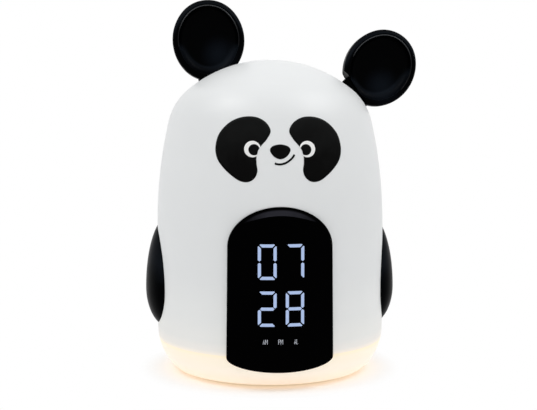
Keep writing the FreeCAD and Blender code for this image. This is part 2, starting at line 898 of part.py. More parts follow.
def make_light_board():
    low = dim("chassis_bottom") - dim("board_thick")
    inner, outer = dim("light_board_inner"), dim("light_board_outer")
    top = dim("chassis_bottom")
    disc = turned("light_board_disc", [(inner, low), (outer, low), (outer, top), (inner, top)])
    holes = [front_notch("light_board_notch", 0, dim("far"))]
    clear = dim("screw_radius") + dim("part_gap")
    for index, (across, along) in enumerate(boss_spots()):
        holes.append(rod(f"light_clear{index}", clear, (across, along, 0), dim("far")))
    return cut("light_board", disc, *holes)


def make_lamps():
    """Lamp chips under the ring board, with none in its front notch."""
    top = dim("chassis_bottom") - dim("board_thick")
    side, high = dim("lamp_side"), dim("lamp_high")
    half = side / 2
    notch_from, notch_to = 240, 300
    lamps = []
    for index in range(SIZES["lamp_count"]):
        angle = 360 * index / SIZES["lamp_count"]
        if notch_from < angle < notch_to:
            continue
        across, along = around(angle, "lamp_circle")
        lamp = primitive("Box", f"lamp{index}", Length=side, Width=side, Height=high)
        lamps.append(place(lamp, (across - half, along - half, top - high)))
    return group("night_light_lamps", lamps)


def make_reflector():
    low = dim("base_top") + dim("part_gap")
    high = dim("chassis_bottom") - dim("board_thick") - dim("part_gap")
    wall = dim("reflector_wall")
    near_low = dim("reflector_low")
    near_high = dim("reflector_high")
    corners = [(near_low, low), (near_low + wall, low), (near_high + wall, high), (near_high, high)]
    ring = turned("reflector_ring", corners)
    return cut("light_reflector", ring, front_notch("reflector_notch", high - dim("run_in"), dim("far")))


def make_main_board():
    half = dim("main_board_half_width")
    low = dim("main_board_bottom")
    along = (-dim("main_board_front"), dim("main_board_back"))
    sheet_board = block("main_board_sheet", (-half, half), along, (low, low + dim("board_thick")))
    clear = dim("screw_radius") + dim("part_gap")
    holes = [
        rod(f"main_clear{index}", clear, (across, depth, low - dim("run_in")), dim("beyond"))
        for index, (across, depth) in enumerate(standoff_spots())
    ]
    return cut("main_board", sheet_board, *holes)


def make_main_components():
    """The processor, a sound chip, two capacitors and a row of lead plugs."""
    top = dim("main_board_bottom") + dim("board_thick")
    package = (top, top + dim("package_high"))
    middle = dim("package_middle")
    half = dim("processor_half")
    parts = [block("processor", (-half, half), (middle - half, middle + half), package)]
    across, half = dim("memory_across"), dim("memory_half")
    parts.append(block("sound_chip", (across - half, across + half), (middle - half, middle + half), package))
    for side_name, side in SIDES:
        shift = dim("capacitor_step") * side
        spot = (dim("capacitor_across") + shift, dim("capacitor_along") - shift, top)
        parts.append(rod(f"{side_name}_capacitor", dim("capacitor_radius"), spot, dim("capacitor_high")))
    half = dim("plug_half")
    along = (dim("plug_back") - dim("plug_deep"), dim("plug_back"))
    for index in range(SIZES["plug_count"]):
        across = dim("plug_first") + dim("plug_step") * index
        rise = (top, top + dim("plug_high"))
        parts.append(block(f"lead_plug{index}", (across - half, across + half), along, rise))
    return group("main_board_components", parts)


def make_power_socket():
    """A metal can with a mouth at the back and a tongue in it."""
    top = dim("main_board_bottom") + dim("board_thick")
    half = dim("socket_half_width")
    skin = dim("socket_skin")
    back = dim("socket_back")
    high = top + dim("socket_high")
    can = block("socket_can", (-half, half), (dim("socket_front"), back), (top, high))
    mouth_along = (back - dim("socket_mouth_depth"), dim("far"))
    mouth = block("socket_mouth", (skin - half, half - skin), mouth_along, (top + skin, high - skin))
    tongue_half = half - dim("tongue_inset")
    tongue_back = back - dim("tongue_set_back")
    low = top + dim("tongue_low")
    tongue = block(
        "socket_tongue", (-tongue_half, tongue_half),
        (tongue_back - dim("tongue_length"), tongue_back), (low, low + dim("tongue_thick")),
    )
    return fuse("power_socket", [cut("socket_shell", can, mouth), tongue])


light_low = dim("chassis_bottom") - dim("board_thick")
main_top = dim("main_board_bottom") + dim("board_thick")
pieces["chassis"] = make_chassis()
pieces["light_board"] = make_light_board()
pieces["night_light_lamps"] = make_lamps()
pieces["light_reflector"] = make_reflector()
pieces["main_board"] = make_main_board()
pieces["main_board_components"] = make_main_components()
pieces["power_socket"] = make_power_socket()
pieces["chassis_screws"] = screw_set("chassis_screws", [(*spot, light_low) for spot in boss_spots()])
base_face = dim("cap_top") + dim("part_gap")
pieces["base_screws"] = screw_set("base_screws", [(*spot, base_face) for spot in base_screw_spots()])


# Main board screws are short, so that they end in the standoffs

def make_main_screws():
    screws = []
    length = dim("screw_length") / 2
    head_radius, head_high = dim("screw_head_radius"), dim("screw_head_high")
    for index, (across, along) in enumerate(standoff_spots()):
        head = rod(f"main_screw_head{index}", head_radius, (across, along, main_top), head_high)
        tip = (across, along, main_top - length)
        shank = rod(f"main_screw_shank{index}", dim("screw_radius"), tip, length)
        screws.append(fuse(f"main_screw{index}", [head, shank]))
    return group("main_board_screws", screws)


pieces["main_board_screws"] = make_main_screws()


# Display: lens, light guide, board and its small lamps

def half_ellipse(sketch, middle, half_width, high):
    """Half an ellipse over a level line, or under it where high is negative."""
    vector = FreeCAD.Vector
    crest = vector(0, middle + high)
    side = vector(math.copysign(half_width, high), middle)
    ellipse = Part.Ellipse(side, crest, vector(0, middle))
    return sketch.addGeometry(Part.ArcOfEllipse(ellipse, 0, math.pi))


def make_display_lens():
    """A dark skin over the front with an arched top and foot, and a bevel across its arch."""
    half, foot_half = dim("lens_half_width"), dim("lens_foot_half_width")
    top, bottom = dim("lens_top"), dim("lens_bottom")
    spring = top - dim("lens_arch_high")
    foot = bottom + dim("lens_foot_high")
    body = doc.addObject("PartDesign::Body", "lens_prism")
    sketch = new_sketch(body, "XZ_Plane")
    vector = FreeCAD.Vector
    foot_left, spring_left = vector(-foot_half.number, foot.number), vector(-half.number, spring.number)
    foot_right, spring_right = vector(foot_half.number, foot.number), vector(half.number, spring.number)
    left = sketch.addGeometry(Part.LineSegment(foot_left, spring_left))
    arch = half_ellipse(sketch, spring.number, half.number, SIZES["lens_arch_high"])
    right = sketch.addGeometry(Part.LineSegment(spring_right, foot_right))
    heel = half_ellipse(sketch, foot.number, foot_half.number, -SIZES["lens_foot_high"])
    pin(sketch, left, 1, -foot_half, foot)
    pin(sketch, left, 2, -half, spring)
    pin(sketch, right, 1, half, spring)
    pin(sketch, right, 2, foot_half, foot)
    joins = ((arch, 1, right, 1), (arch, 2, left, 2), (heel, 1, left, 1), (heel, 2, right, 2))
    for join in joins:
        sketch.addConstraint(Sketcher.Constraint("Coincident", *join))
    pad(body, sketch, dim("far"))
    # The bevel is a cone that opens towards the back, and it works above its own middle only.
    slope = dim("bevel_drop") / dim("lens_proud")
    front = -dim("body_radius") - dim("lens_proud")
    deep = dim("bevel_depth")
    near = dim("bevel_radius")
    cone = primitive("Cone", "lens_bevel", Radius1=near, Radius2=near + slope * deep, Height=deep)
    middle = top - dim("bevel_drop") - near
    place(cone, (0, front, middle), (1, 0, 0), -90)
    far = dim("far")
    plain = block("lens_plain", (-far, far), (-far, far), (-far, middle))
    skin = cut("lens_skin", lens_form, outer_form)
    return common("lens_blank", skin, body, fuse("lens_reach", [cone, plain]))


pieces["display_lens"] = make_display_lens()


def numeral_cells(across, middle):
    """The seven bars of one numeral, each as its centre across and up and its width and height."""
    wide, high = dim("digit_wide"), dim("digit_high")
    stroke, gap = dim("digit_stroke"), dim("segment_gap")
    column = (wide - stroke) / 2
    row = (high - stroke) / 2
    cells = [(across, middle + row * level, wide - stroke * 2 - gap * 2, stroke) for level in (-1, 0, 1)]
    for side in (-1, 1):
        for level in (-1, 1):
            cells.append((across + column * side, middle + row * level / 2, stroke, row - stroke - gap * 2))
    return cells


def display_cells():
    """The cells of four numerals in two rows, and of three small flags under them."""
    cells = []
    for middle in (dim("hour_middle"), dim("minute_middle")):
        for side in (-1, 1):
            cells += numeral_cells(dim("digit_offset") * side, middle)
    for step in (-1, 0, 1):
        cells.append((dim("flag_step") * step, dim("flag_middle"), dim("flag_wide"), dim("flag_high")))
    return cells


def make_light_guide():
    half = dim("window_half_width") - dim("part_gap")
    plane = -dim("display_plane")
    gap = dim("part_gap")
    rise = (dim("window_bottom") + gap, dim("window_top") - gap)
    core = block("guide_core", (-half, half), (-dim("far"), plane), rise)
    core = common("guide_shaped", core, body_form("guide_form", dim("part_gap")))
    wells = []
    for index, (across, up, wide, high) in enumerate(display_cells()):
        wells.append(block(
            f"cell{index}", (across - wide / 2, across + wide / 2), (-dim("far"), plane),
            (up - high / 2, up + high / 2),
        ))
    return cut("light_guide", core, *wells)


def make_display_board():
    half = dim("display_half_width")
    plane = -dim("display_plane")
    rise = (dim("window_bottom"), dim("display_top"))
    board = block("display_sheet", (-half, half), (plane, plane + dim("board_thick")), rise)
    clear = dim("screw_radius") + dim("part_gap")
    holes = [
        rod(f"display_clear{index}", clear, (across, plane - dim("run_in"), up), dim("beyond"), "Y")
        for index, (across, up) in enumerate(display_spots())
    ]
    return cut("display_board", board, *holes)


def make_display_lamps():
    """One small lamp chip in each cell of the light guide."""
    half = dim("chip_side") / 2
    plane = -dim("display_plane")
    along = (plane - dim("chip_high"), plane)
    chips = [
        block(f"chip{index}", (across - half, across + half), along, (up - half, up + half))
        for index, (across, up, _, _) in enumerate(display_cells())
    ]
    return group("display_lamps", chips)


pieces["light_guide"] = make_light_guide()
pieces["display_board"] = make_display_board()
pieces["display_lamps"] = make_display_lamps()
display_back = -dim("display_plane") + dim("board_thick")
pieces["display_screws"] = level_screw_set(
    "display_screws", [(across, display_back, up) for across, up in display_spots()], inwards=False
)


# Speaker at the back

def make_speaker():
    front = dim("speaker_depth")
    rim = dim("speaker_radius")
    magnet = dim("magnet_radius")
    skin = dim("speaker_skin")
    flange = skin * 2
    basket = [
        (magnet - skin, 0), (magnet, 0), (rim - flange, front - flange), (rim, front - flange),
        (rim, front), (rim - flange, front), (rim - skin * 3, front - skin * 1.5),
        (magnet - skin, skin * 1.5),
    ]
    paper = dim("cone_skin")
    cap_radius, cap_high, low = dim("dust_cap_radius"), dim("dust_cap_high"), dim("cone_low")
    edge = rim - dim("surround_reach")
    cone = [
        (0, cap_high), (cap_radius, low), (edge - paper * 2, front - paper * 1.5), (edge, front),
        (edge, front + paper), (edge - paper * 2.5, front - paper / 2), (cap_radius, low + paper),
        (0, cap_high + paper),
    ]
    back = dim("speaker_front") - front
    spot = (0, back, dim("speaker_middle"))
    frame = place(turned("speaker_frame", basket), spot, (1, 0, 0), -90)
    diaphragm = place(turned("speaker_cone", cone), spot, (1, 0, 0), -90)
    magnet_spot = (0, back - dim("magnet_thick"), dim("speaker_middle"))
    weight = rod("speaker_magnet", magnet, magnet_spot, dim("magnet_thick"), "Y")
    return {"speaker_frame": frame, "speaker_cone": diaphragm, "speaker_magnet": weight}


pieces.update(make_speaker())


# Buttons at the back, with their board and keys

def make_button(name, across, up):
    far = dim("far")
    cap_start = dim("button_flange_plane")
    cap = rod(f"{name}_rod", dim("button_radius"), (across, cap_start, up), far, "Y")
    shaped = common(f"{name}_face", cap, button_form)
    thick = dim("button_flange_thick")
    flange = rod(f"{name}_flange", dim("button_flange"), (across, cap_start, up), thick, "Y")
    stem_end = dim("button_stem_end")
    stem_spot = (across, stem_end, up)
    stem = rod(f"{name}_stem", dim("button_stem_radius"), stem_spot, cap_start - stem_end, "Y")
    return fuse(name, [shaped, flange, stem])


button_form = body_form("button_form", -dim("button_proud"))
for button_name, (button_across, button_up) in button_spots().items():
    pieces[button_name] = make_button(button_name, button_across, button_up)


def make_button_board():
    half = dim("button_board_half_width")
    plane = dim("button_board_plane")
    rise = (dim("button_board_low"), dim("button_board_high"))
    board = block("button_sheet", (-half, half), (plane, plane + dim("board_thick")), rise)
    clear = dim("screw_radius") + dim("part_gap")
    holes = [
        rod(f"button_clear{index}", clear, (across, plane - dim("run_in"), up), dim("beyond"), "Y")
        for index, (across, up) in enumerate(button_board_spots())
    ]
    return cut("button_board", board, *holes)


def make_button_keys():
    keys = []
    plane = dim("button_board_plane") + dim("board_thick")
    half = dim("key_side") / 2
    high = plane + dim("key_high")
    travel = dim("button_flange_thick")
    for name, (across, up) in button_spots().items():
        case = block(f"{name}_key", (across - half, across + half), (plane, high), (up - half, up + half))
        plunger = rod(f"{name}_plunger", dim("key_plunger"), (across, high, up), travel, "Y")
        keys.append(fuse(f"{name}_key_whole", [case, plunger]))
    return group("button_keys", keys)


pieces["button_board"] = make_button_board()
pieces["button_keys"] = make_button_keys()
pieces["button_board_screws"] = level_screw_set(
    "button_board_screws",
    [(across, dim("button_board_plane"), up) for across, up in button_board_spots()],
    inwards=True,
)


# Arms on the sides

def make_arm(side_name, side):
    middle = (dim("arm_reach") - dim("arm_thick")) * side
    halves = []
    for name, reach, low, high in (("upper", "arm_up", 0, 90), ("lower", "arm_down", -90, 0)):
        half = primitive(
            "Ellipsoid", f"{side_name}_arm_{name}",
            Radius1=dim(reach), Radius2=dim("arm_thick"), Radius3=dim("arm_half_width"),
        )
        half.Angle1 = low
        half.Angle2 = high
        halves.append(place(half, (middle, 0, dim("arm_middle"))))
    egg = cut(f"{side_name}_arm_skin", fuse(f"{side_name}_arm_egg", halves), outer_form)
    inner = dim("body_radius") - dim("shell_wall") - dim("run_in")
    start = inner if side > 0 else -dim("arm_reach") + dim("beyond")
    length = dim("arm_reach") - dim("beyond") - inner
    pegs = [
        rod(f"{side_name}_arm_peg{index}", dim("peg_radius"), (start, 0, up), length, "X")
        for index, up in enumerate((dim("peg_low"), dim("peg_high")))
    ]
    return fuse(f"{side_name}_arm", [egg] + pegs)


for side_name, side in SIDES:
    pieces[f"{side_name}_arm"] = make_arm(side_name, side)


# Ears: each is drawn in its raised place, on a lever that turns about a pin behind the dome's front

def ear_place(side, reach, along):
    """The point on a lever's centre line at a distance from its pivot, with the ear raised."""
    angle = dim("ear_up_angle")
    across = (dim("pivot_across") + sine(angle) * reach) * side
    return across, along, dim("pivot_height") + cosine(angle) * reach


def swing(thing, side):
    """The right ear rests swung outwards and the left ear rests raised."""
    if side > 0:
        centre = FreeCAD.Vector(SIZES["pivot_across"], 0, SIZES["pivot_height"])
        turn = FreeCAD.Rotation(FreeCAD.Vector(0, 1, 0), SIZES["ear_swing"])
        thing.Placement = FreeCAD.Placement(FreeCAD.Vector(0, 0, 0), turn, centre)
    return thing


def lean(thing, side, angle, at):
    """Turn a piece about Y by an angle towards its own side and move it."""
    return place(thing, at, (0, 1, 0), angle * side)


def oval(sketch, half_long, half_short, end_radius):
    """An upright oval of four arcs that meet tangentially."""
    height = half_long - end_radius
    narrow = half_short - end_radius
    shift = (height * height - narrow * narrow) / (narrow * 2)
    flank_radius = half_short + shift
    share = flank_radius / (flank_radius - end_radius)
    across = shift * share - shift
    up = height * share
    flank_turn = math.atan2(up.number, across.number + shift.number)
    end_turn = math.atan2(up.number - height.number, across.number)
    quarter = math.pi / 2
    arcs = (
        ((-shift.number, 0), flank_radius, -flank_turn, flank_turn, (across, -up)),
        ((0, height.number), end_radius, end_turn, 2 * quarter - end_turn, (across, up)),
        ((shift.number, 0), flank_radius, 2 * quarter - flank_turn, 2 * quarter + flank_turn, (-across, up)),
        ((0, -height.number), end_radius, 2 * quarter + end_turn, 4 * quarter - end_turn, (-across, -up)),
    )
    items = []
    for centre, radius, start, end, _ in arcs:
        items.append(sketch.addGeometry(arc(centre, radius.number, start, end)))
    for item, following in zip(items, items[1:] + items[:1]):
        sketch.addConstraint(Sketcher.Constraint("Coincident", item, 2, following, 1))
    for item, (_, radius, _, _, corner) in zip(items, arcs):
        pin(sketch, item, 1, *corner)
        measure(sketch, "Radius", item, radius)


def soften(body, level, alias):
    """Round the edges of a body that lie at one depth."""
    base = body.Tip
    edges = [
        f"Edge{number}"
        for number, edge in enumerate(base.Shape.Edges, start=1)
        if abs(edge.CenterOfMass.y - level) < 0.01
    ]
    rounds = body.newObject("PartDesign::Fillet", f"{body.Name}_{alias}")
    rounds.Base = (base, edges)
    bind(rounds, "Radius", dim(alias))
    doc.recompute()


def ear_blank(name):
    """An oval disc that stands on its centre, with rounded rims and a bowl sunk in its front."""
    body = doc.addObject("PartDesign::Body", name)
    sketch = new_sketch(body, "XZ_Plane")
    oval(sketch, dim("ear_long"), dim("ear_short"), dim("ear_end_radius"))
    pad(body, sketch, dim("ear_thick"))
    doc.recompute()
    soften(body, -SIZES["ear_thick"], "ear_front_round")
    soften(body, 0, "ear_back_round")
    hollow = body.newObject("Sketcher::SketchObject", f"{name}_bowl_sketch")
    hollow.AttachmentSupport = [(sketch.AttachmentSupport[0][0], "")]
    hollow.MapMode = "FlatFace"
    bind(hollow, "AttachmentOffset.Base.z", dim("ear_thick"))
    rim = dim("ear_long") - dim("bowl_long")
    oval(hollow, dim("bowl_long"), dim("bowl_short"), dim("ear_end_radius") - rim)
    pocket = body.newObject("PartDesign::Pocket", f"{name}_bowl")
    pocket.Profile = hollow
    bind(pocket, "Length", dim("bowl_depth"))
    doc.recompute()
    soften(body, SIZES["bowl_depth"] - SIZES["ear_thick"], "bowl_round")
    return body


def make_lever(side_name, side):
    """Hub, arm and neck in one piece, with a notch for each of its two places."""
    angle = SIZES["ear_up_angle"]
    pivot = ear_place(side, 0, 0)
    hub_front, hub_back = dim("hub_front"), dim("hub_back")
    spot = (pivot[0], hub_front, pivot[2])
    hub = rod(f"{side_name}_hub", dim("hub_radius"), spot, hub_back - hub_front, "Y")
    bars = []
    for name, half, front, back, low, high in (
        ("arm", "lever_half_width", "lever_front", "lever_back", 0, dim("neck_low") + dim("run_in")),
        ("neck", "neck_half_width", "neck_front", "neck_back", dim("neck_low"), dim("neck_high")),
    ):
        length = high - low
        bar = primitive(
            "Box", f"{side_name}_{name}",
            Length=dim(half) * 2, Width=dim(back) - dim(front), Height=length,
        )
        tilt = dim("ear_up_angle") * side
        across = pivot[0] - cosine(tilt) * dim(half) + sine(tilt) * low
        up = pivot[2] + sine(tilt) * dim(half) + cosine(tilt) * low
        bars.append(lean(bar, side, angle, (across, dim(front), up)))
    bore = dim("pin_radius") + dim("pin_fit")
    holes = [rod(f"{side_name}_bore", bore, (pivot[0], 0, pivot[2]), dim("far"), "Y")]
    # Each notch stands at the bottom of the hub in one of the lever's two places.
    for name, turn in (("near", 0), ("wide", SIZES["ear_swing"])):
        across = pivot[0] + dim("notch_sink") * math.sin(math.radians(turn)) * side
        up = pivot[2] - dim("notch_sink") * math.cos(math.radians(turn))
        holes.append(rod(f"{side_name}_{name}_notch", dim("notch_radius"), (across, 0, up), dim("far"), "Y"))
    return cut(f"{side_name}_ear_lever", fuse(f"{side_name}_lever_whole", [hub] + bars), *holes)


def make_ear(side_name, side):
    """A dish in front and a cover behind, with the lever's neck between them."""
    tilt = SIZES["ear_up_angle"] - SIZES["ear_lean_back"]
    middle = ear_place(side, dim("lever_length"), dim("ear_front") + dim("ear_thick"))
    blank = lean(ear_blank(f"{side_name}_ear_blank"), side, tilt, middle)
    neck = doc.getObject(f"{side_name}_neck")
    whole = cut(f"{side_name}_ear_shaped", blank, ear_keep_out)
    split = dim("ear_split")
    far = dim("far")
    ahead = block(f"{side_name}_ahead", (-far, far), (-far, split), (0, far * 2))
    dish = cut(f"{side_name}_ear_dish", common(f"{side_name}_ear_ahead", whole, ahead), neck)
    cover = cut(f"{side_name}_ear_cover", whole, ahead, neck)
    return {f"{side_name}_ear_dish": swing(dish, side), f"{side_name}_ear_cover": swing(cover, side)}


def make_pin(side_name, side):
    across, _, up = ear_place(side, 0, 0)
    back = dim("bracket_front") + dim("bracket_thick")
    front = dim("pin_head_front")
    shaft = rod(f"{side_name}_pin_shaft", dim("pin_radius"), (across, front, up), back - front, "Y")
    head_thick = dim("pin_head_back") - front
    head = rod(f"{side_name}_pin_head", dim("pin_head_radius"), (across, front, up), head_thick, "Y")
    return fuse(f"{side_name}_ear_pin", [shaft, head])


def make_spring(side_name, side):
    """A leaf under the hub, with a round bump that drops into the notches."""
    across = dim("pivot_across") * side
    top = dim("spring_top")
    half = dim("spring_half_length")
    leaf = block(
        f"{side_name}_leaf", (across - half, across + half),
        (dim("spring_front"), dim("bracket_front")), (top - dim("spring_thick"), top),
    )
    bump_length = dim("spring_back") - dim("spring_front")
    bump = rod(f"{side_name}_bump", dim("spring_bump"), (across, dim("spring_front"), top), bump_length, "Y")
    return fuse(f"{side_name}_detent_spring", [leaf, bump])


def make_switch(side_name, side):
    near, far = dim("switch_near"), dim("switch_far")
    limits = (near, far) if side > 0 else (-far, -near)
    along = (dim("switch_front"), dim("bracket_front"))
    case = block(f"{side_name}_switch_case", limits, along, (dim("switch_low"), dim("switch_high")))
    run_in, out = dim("run_in"), dim("switch_key_out")
    start = far - run_in if side > 0 else -far - out
    spot = (start, (dim("lever_front") + dim("lever_back")) / 2, dim("switch_key"))
    key = rod(f"{side_name}_switch_key", dim("switch_key_radius"), spot, out + run_in, "X")
    return fuse(f"{side_name}_ear_switch", [case, key])


def make_bracket():
    """An upright plate with a shelf that is screwed up to the ceiling posts."""
    wide, narrow = dim("bracket_wide"), dim("bracket_narrow")
    low, shoulder, high = dim("bracket_low"), dim("bracket_shoulder"), dim("bracket_high")
    front = dim("bracket_front")
    back = front + dim("bracket_thick")
    corners = [
        (-wide, low), (wide, low), (wide, shoulder), (narrow, high), (-narrow, high), (-wide, shoulder),
    ]
    upright = plate("bracket_upright", corners, back, front)
    reach = wide - dim("shelf_inset")
    rise = (shoulder - dim("shelf_thick"), shoulder)
    shelf = block("bracket_shelf", (-reach, reach), (front, dim("shelf_back")), rise)
    tools = []
    for side_name, side in SIDES:
        across, _, up = ear_place(side, 0, 0)
        tools.append(rod(f"{side_name}_pin_hole", dim("pin_radius"), (across, 0, up), dim("far"), "Y"))
    clear = dim("screw_radius") + dim("part_gap")
    for index, (across, along) in enumerate(post_spots()):
        tools.append(rod(f"bracket_clear{index}", clear, (across, along, 0), dim("far")))
    return cut("ear_bracket", fuse("bracket_whole", [upright, shelf]), *tools)


for side_name, side in SIDES:
    pieces[f"{side_name}_ear_lever"] = swing(make_lever(side_name, side), side)
    pieces.update(make_ear(side_name, side))
    pieces[f"{side_name}_ear_pin"] = make_pin(side_name, side)
    pieces[f"{side_name}_detent_spring"] = make_spring(side_name, side)
    pieces[f"{side_name}_ear_switch"] = make_switch(side_name, side)
pieces["ear_bracket"] = make_bracket()
shelf_face = dim("bracket_shoulder") - dim("shelf_thick")
pieces["bracket_screws"] = screw_set("bracket_screws", [(*spot, shelf_face) for spot in post_spots()])


# Final checks and export

doc.recompute()
for item in doc.Objects:
    if "Invalid" in item.State or "Error" in item.State:
        raise SystemExit(f"{item.Name} is {item.State}")
for label, thing in pieces.items():
    thing.Label = label
    if thing.Shape.isNull() or not thing.Shape.isValid() or not thing.Shape.Solids:
        raise SystemExit(f"{label} has no sound solid")
    thing.Shape.exportStep(f"parts/{label}.step")
print("exported", len(pieces), "pieces")
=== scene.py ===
import bpy
import bmesh
import json
import math
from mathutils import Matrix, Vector


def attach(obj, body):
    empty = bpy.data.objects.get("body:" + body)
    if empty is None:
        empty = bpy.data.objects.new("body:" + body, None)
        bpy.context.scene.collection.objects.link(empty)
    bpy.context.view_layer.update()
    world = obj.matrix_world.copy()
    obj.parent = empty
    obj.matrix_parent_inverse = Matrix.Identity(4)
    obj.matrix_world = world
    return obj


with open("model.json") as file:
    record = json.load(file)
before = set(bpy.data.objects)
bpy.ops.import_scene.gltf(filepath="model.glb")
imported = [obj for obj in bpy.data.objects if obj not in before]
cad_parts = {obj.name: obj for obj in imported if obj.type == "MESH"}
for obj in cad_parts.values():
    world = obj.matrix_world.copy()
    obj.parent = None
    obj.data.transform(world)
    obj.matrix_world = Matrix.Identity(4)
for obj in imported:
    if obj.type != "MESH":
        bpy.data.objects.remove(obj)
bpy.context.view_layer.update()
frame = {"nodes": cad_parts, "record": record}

# Sizes in millimetres, as the model has them
MM = 0.001
BODY_RADIUS = 62.5
HEEL_CURVE = 28.0
HEEL_TOP = 23.0
SIDE_START = 80.0
SIDE_CURVE = 250.0
SHOULDER_CURVE = 31.8
CROWN_CURVE = 71.0
DOME_TOP = 170.1
LENS_PROUD = 2.1
LENS_TOP = 93.0
LENS_HALF_WIDTH = 26.2
LENS_ARCH_HIGH = 20.0
BEVEL_RADIUS = 17.05
BEVEL_DROP = 4.6
FILM = 0.05
LIT_FILM = 0.006

# Numerals of the display
DIGIT_WIDE = 9.2
DIGIT_HIGH = 17.5
DIGIT_OFFSET = 6.85
STROKE = 1.55
SEGMENT_GAP = 0.5
ROWS = {"hour": (66.1, "07"), "minute": (42.9, "28")}
FLAGS = {"AM": -7.6, "PM": 0.0, "AL": 7.9}
FLAG_MIDDLE = 26.5
FLAG_HIGH = 2.35
FLAG_WIDE = 1.4
FLAG_GAP = 0.3
FLAG_LEAD = 1.35
FLAG_HALF = 0.085


def shoulder_centre():
    """The centre of the shoulder arc, which touches the side arc and the crown arc."""
    side = (BODY_RADIUS - SIDE_CURVE, SIDE_START)
    crown = (0.0, DOME_TOP - CROWN_CURVE)
    across, up = crown[0] - side[0], crown[1] - side[1]
    apart = math.hypot(across, up)
    near_side, near_crown = SIDE_CURVE - SHOULDER_CURVE, CROWN_CURVE - SHOULDER_CURVE
    near = (apart**2 + near_side**2 - near_crown**2) / (2 * apart)
    off = math.sqrt(near_side**2 - near**2)
    return side[0] + (near * across - off * up) / apart, side[1] + (near * up + off * across) / apart


SHOULDER = shoulder_centre()
SIDE_END = SIDE_START + SIDE_CURVE * math.sin(
    math.atan2(SHOULDER[1] - SIDE_START, SHOULDER[0] - BODY_RADIUS + SIDE_CURVE)
)


def wall_radius(height, proud=0.0):
    """The body's radius at a height, up to its shoulder."""
    if height < HEEL_TOP:
        return BODY_RADIUS - HEEL_CURVE + math.sqrt((HEEL_CURVE + proud) ** 2 - (HEEL_TOP - height) ** 2)
    if height < SIDE_START:
        return BODY_RADIUS + proud
    if height < SIDE_END:
        rise = height - SIDE_START
        return BODY_RADIUS - SIDE_CURVE + math.sqrt((SIDE_CURVE + proud) ** 2 - rise**2)
    rise = height - SHOULDER[1]
    return SHOULDER[0] + math.sqrt(max((SHOULDER_CURVE + proud) ** 2 - rise**2, 0.0))


def on_body(across, up, proud):
    """A point of the front of the body, in metres."""
    radius = wall_radius(up, proud)
    return Vector((across, -math.sqrt(radius**2 - across**2), up)) * MM


def on_lens(across, up, proud):
    """A point of the lens's front, which a cone cuts back under the arch."""
    radius = wall_radius(up, LENS_PROUD)
    plain = -math.sqrt(radius**2 - across**2)
    middle = LENS_TOP - BEVEL_DROP - BEVEL_RADIUS
    if up < middle:
        return Vector((across, plain - proud, up)) * MM
    reach = math.hypot(across, up - middle) - BEVEL_RADIUS
    bevel = -BODY_RADIUS - LENS_PROUD + reach * LENS_PROUD / BEVEL_DROP
    return Vector((across, max(plain, bevel) - proud, up)) * MM


# Curves for outlines

def spline_point(before, start, end, after, share):
    """A point between start and end on a smooth curve through four points."""
    return 0.5 * (
        2 * start
        + (end - before) * share
        + (2 * before - 5 * start + 4 * end - after) * share**2
        + (3 * start - before - 3 * end + after) * share**3
    )


def smooth_loop(points, steps=8):
    """A closed curve through points, with the same number of steps between them."""
    loop = []
    count = len(points)
    for index in range(count):
        before, start, end, after = (Vector(points[(index + k) % count]) for k in (-1, 0, 1, 2))
        loop += [spline_point(before, start, end, after, step / steps) for step in range(steps)]
    return loop


def circle_loop(centre, radius, steps=48):
    turns = [2 * math.pi * step / steps for step in range(steps)]
    return [Vector((centre[0] + radius * math.cos(t), centre[1] + radius * math.sin(t))) for t in turns]


def stroke_sides(centre_line, half_width):
    """The left and right edges of a stroke along a centre line."""
    line = [Vector(point) for point in centre_line]
    left, right = [], []
    for index, point in enumerate(line):
        ahead = line[min(index + 1, len(line) - 1)] - line[max(index - 1, 0)]
        side = Vector((-ahead.y, ahead.x)).normalized() * half_width
        left.append(point + side)
        right.append(point - side)
    return left, right


# Mesh makers

def new_piece(name, bm, material, body="clock_body"):
    mesh = bpy.data.meshes.new(name)
    bmesh.ops.recalc_face_normals(bm, faces=bm.faces)
    bm.to_mesh(mesh)
    bm.free()
    for face in mesh.polygons:
        face.use_smooth = True
    piece = bpy.data.objects.new(name, mesh)
    bpy.context.scene.collection.objects.link(piece)
    mesh.materials.append(material)
    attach(piece, body)
    return piece


def film(name, loops, surface, material, proud=FILM, thick=FILM, rings=10):
    """Thin printed shapes that follow a surface: each loop is filled from its middle outwards."""
    bm = bmesh.new()
    for loop in loops:
        middle = sum(loop, Vector((0, 0))) / len(loop)
        layers = []
        for lift in (proud, proud + thick):
            centre = bm.verts.new(surface(middle.x, middle.y, lift))
            circles = []
            for ring in range(1, rings + 1):
                spots = [middle.lerp(point, ring / rings) for point in loop]
                circles.append([bm.verts.new(surface(spot.x, spot.y, lift)) for spot in spots])
            layers.append((centre, circles))
        for centre, circles in layers:
            count = len(loop)
            for step in range(count):
                following = (step + 1) % count
                bm.faces.new((centre, circles[0][step], circles[0][following]))
                for inner, outer in zip(circles, circles[1:]):
                    bm.faces.new((inner[step], outer[step], outer[following], inner[following]))
        low, high = layers[0][1][-1], layers[1][1][-1]
        for step in range(len(loop)):
            following = (step + 1) % len(loop)
            bm.faces.new((low[step], low[following], high[following], high[step]))
    return new_piece(name, bm, material)


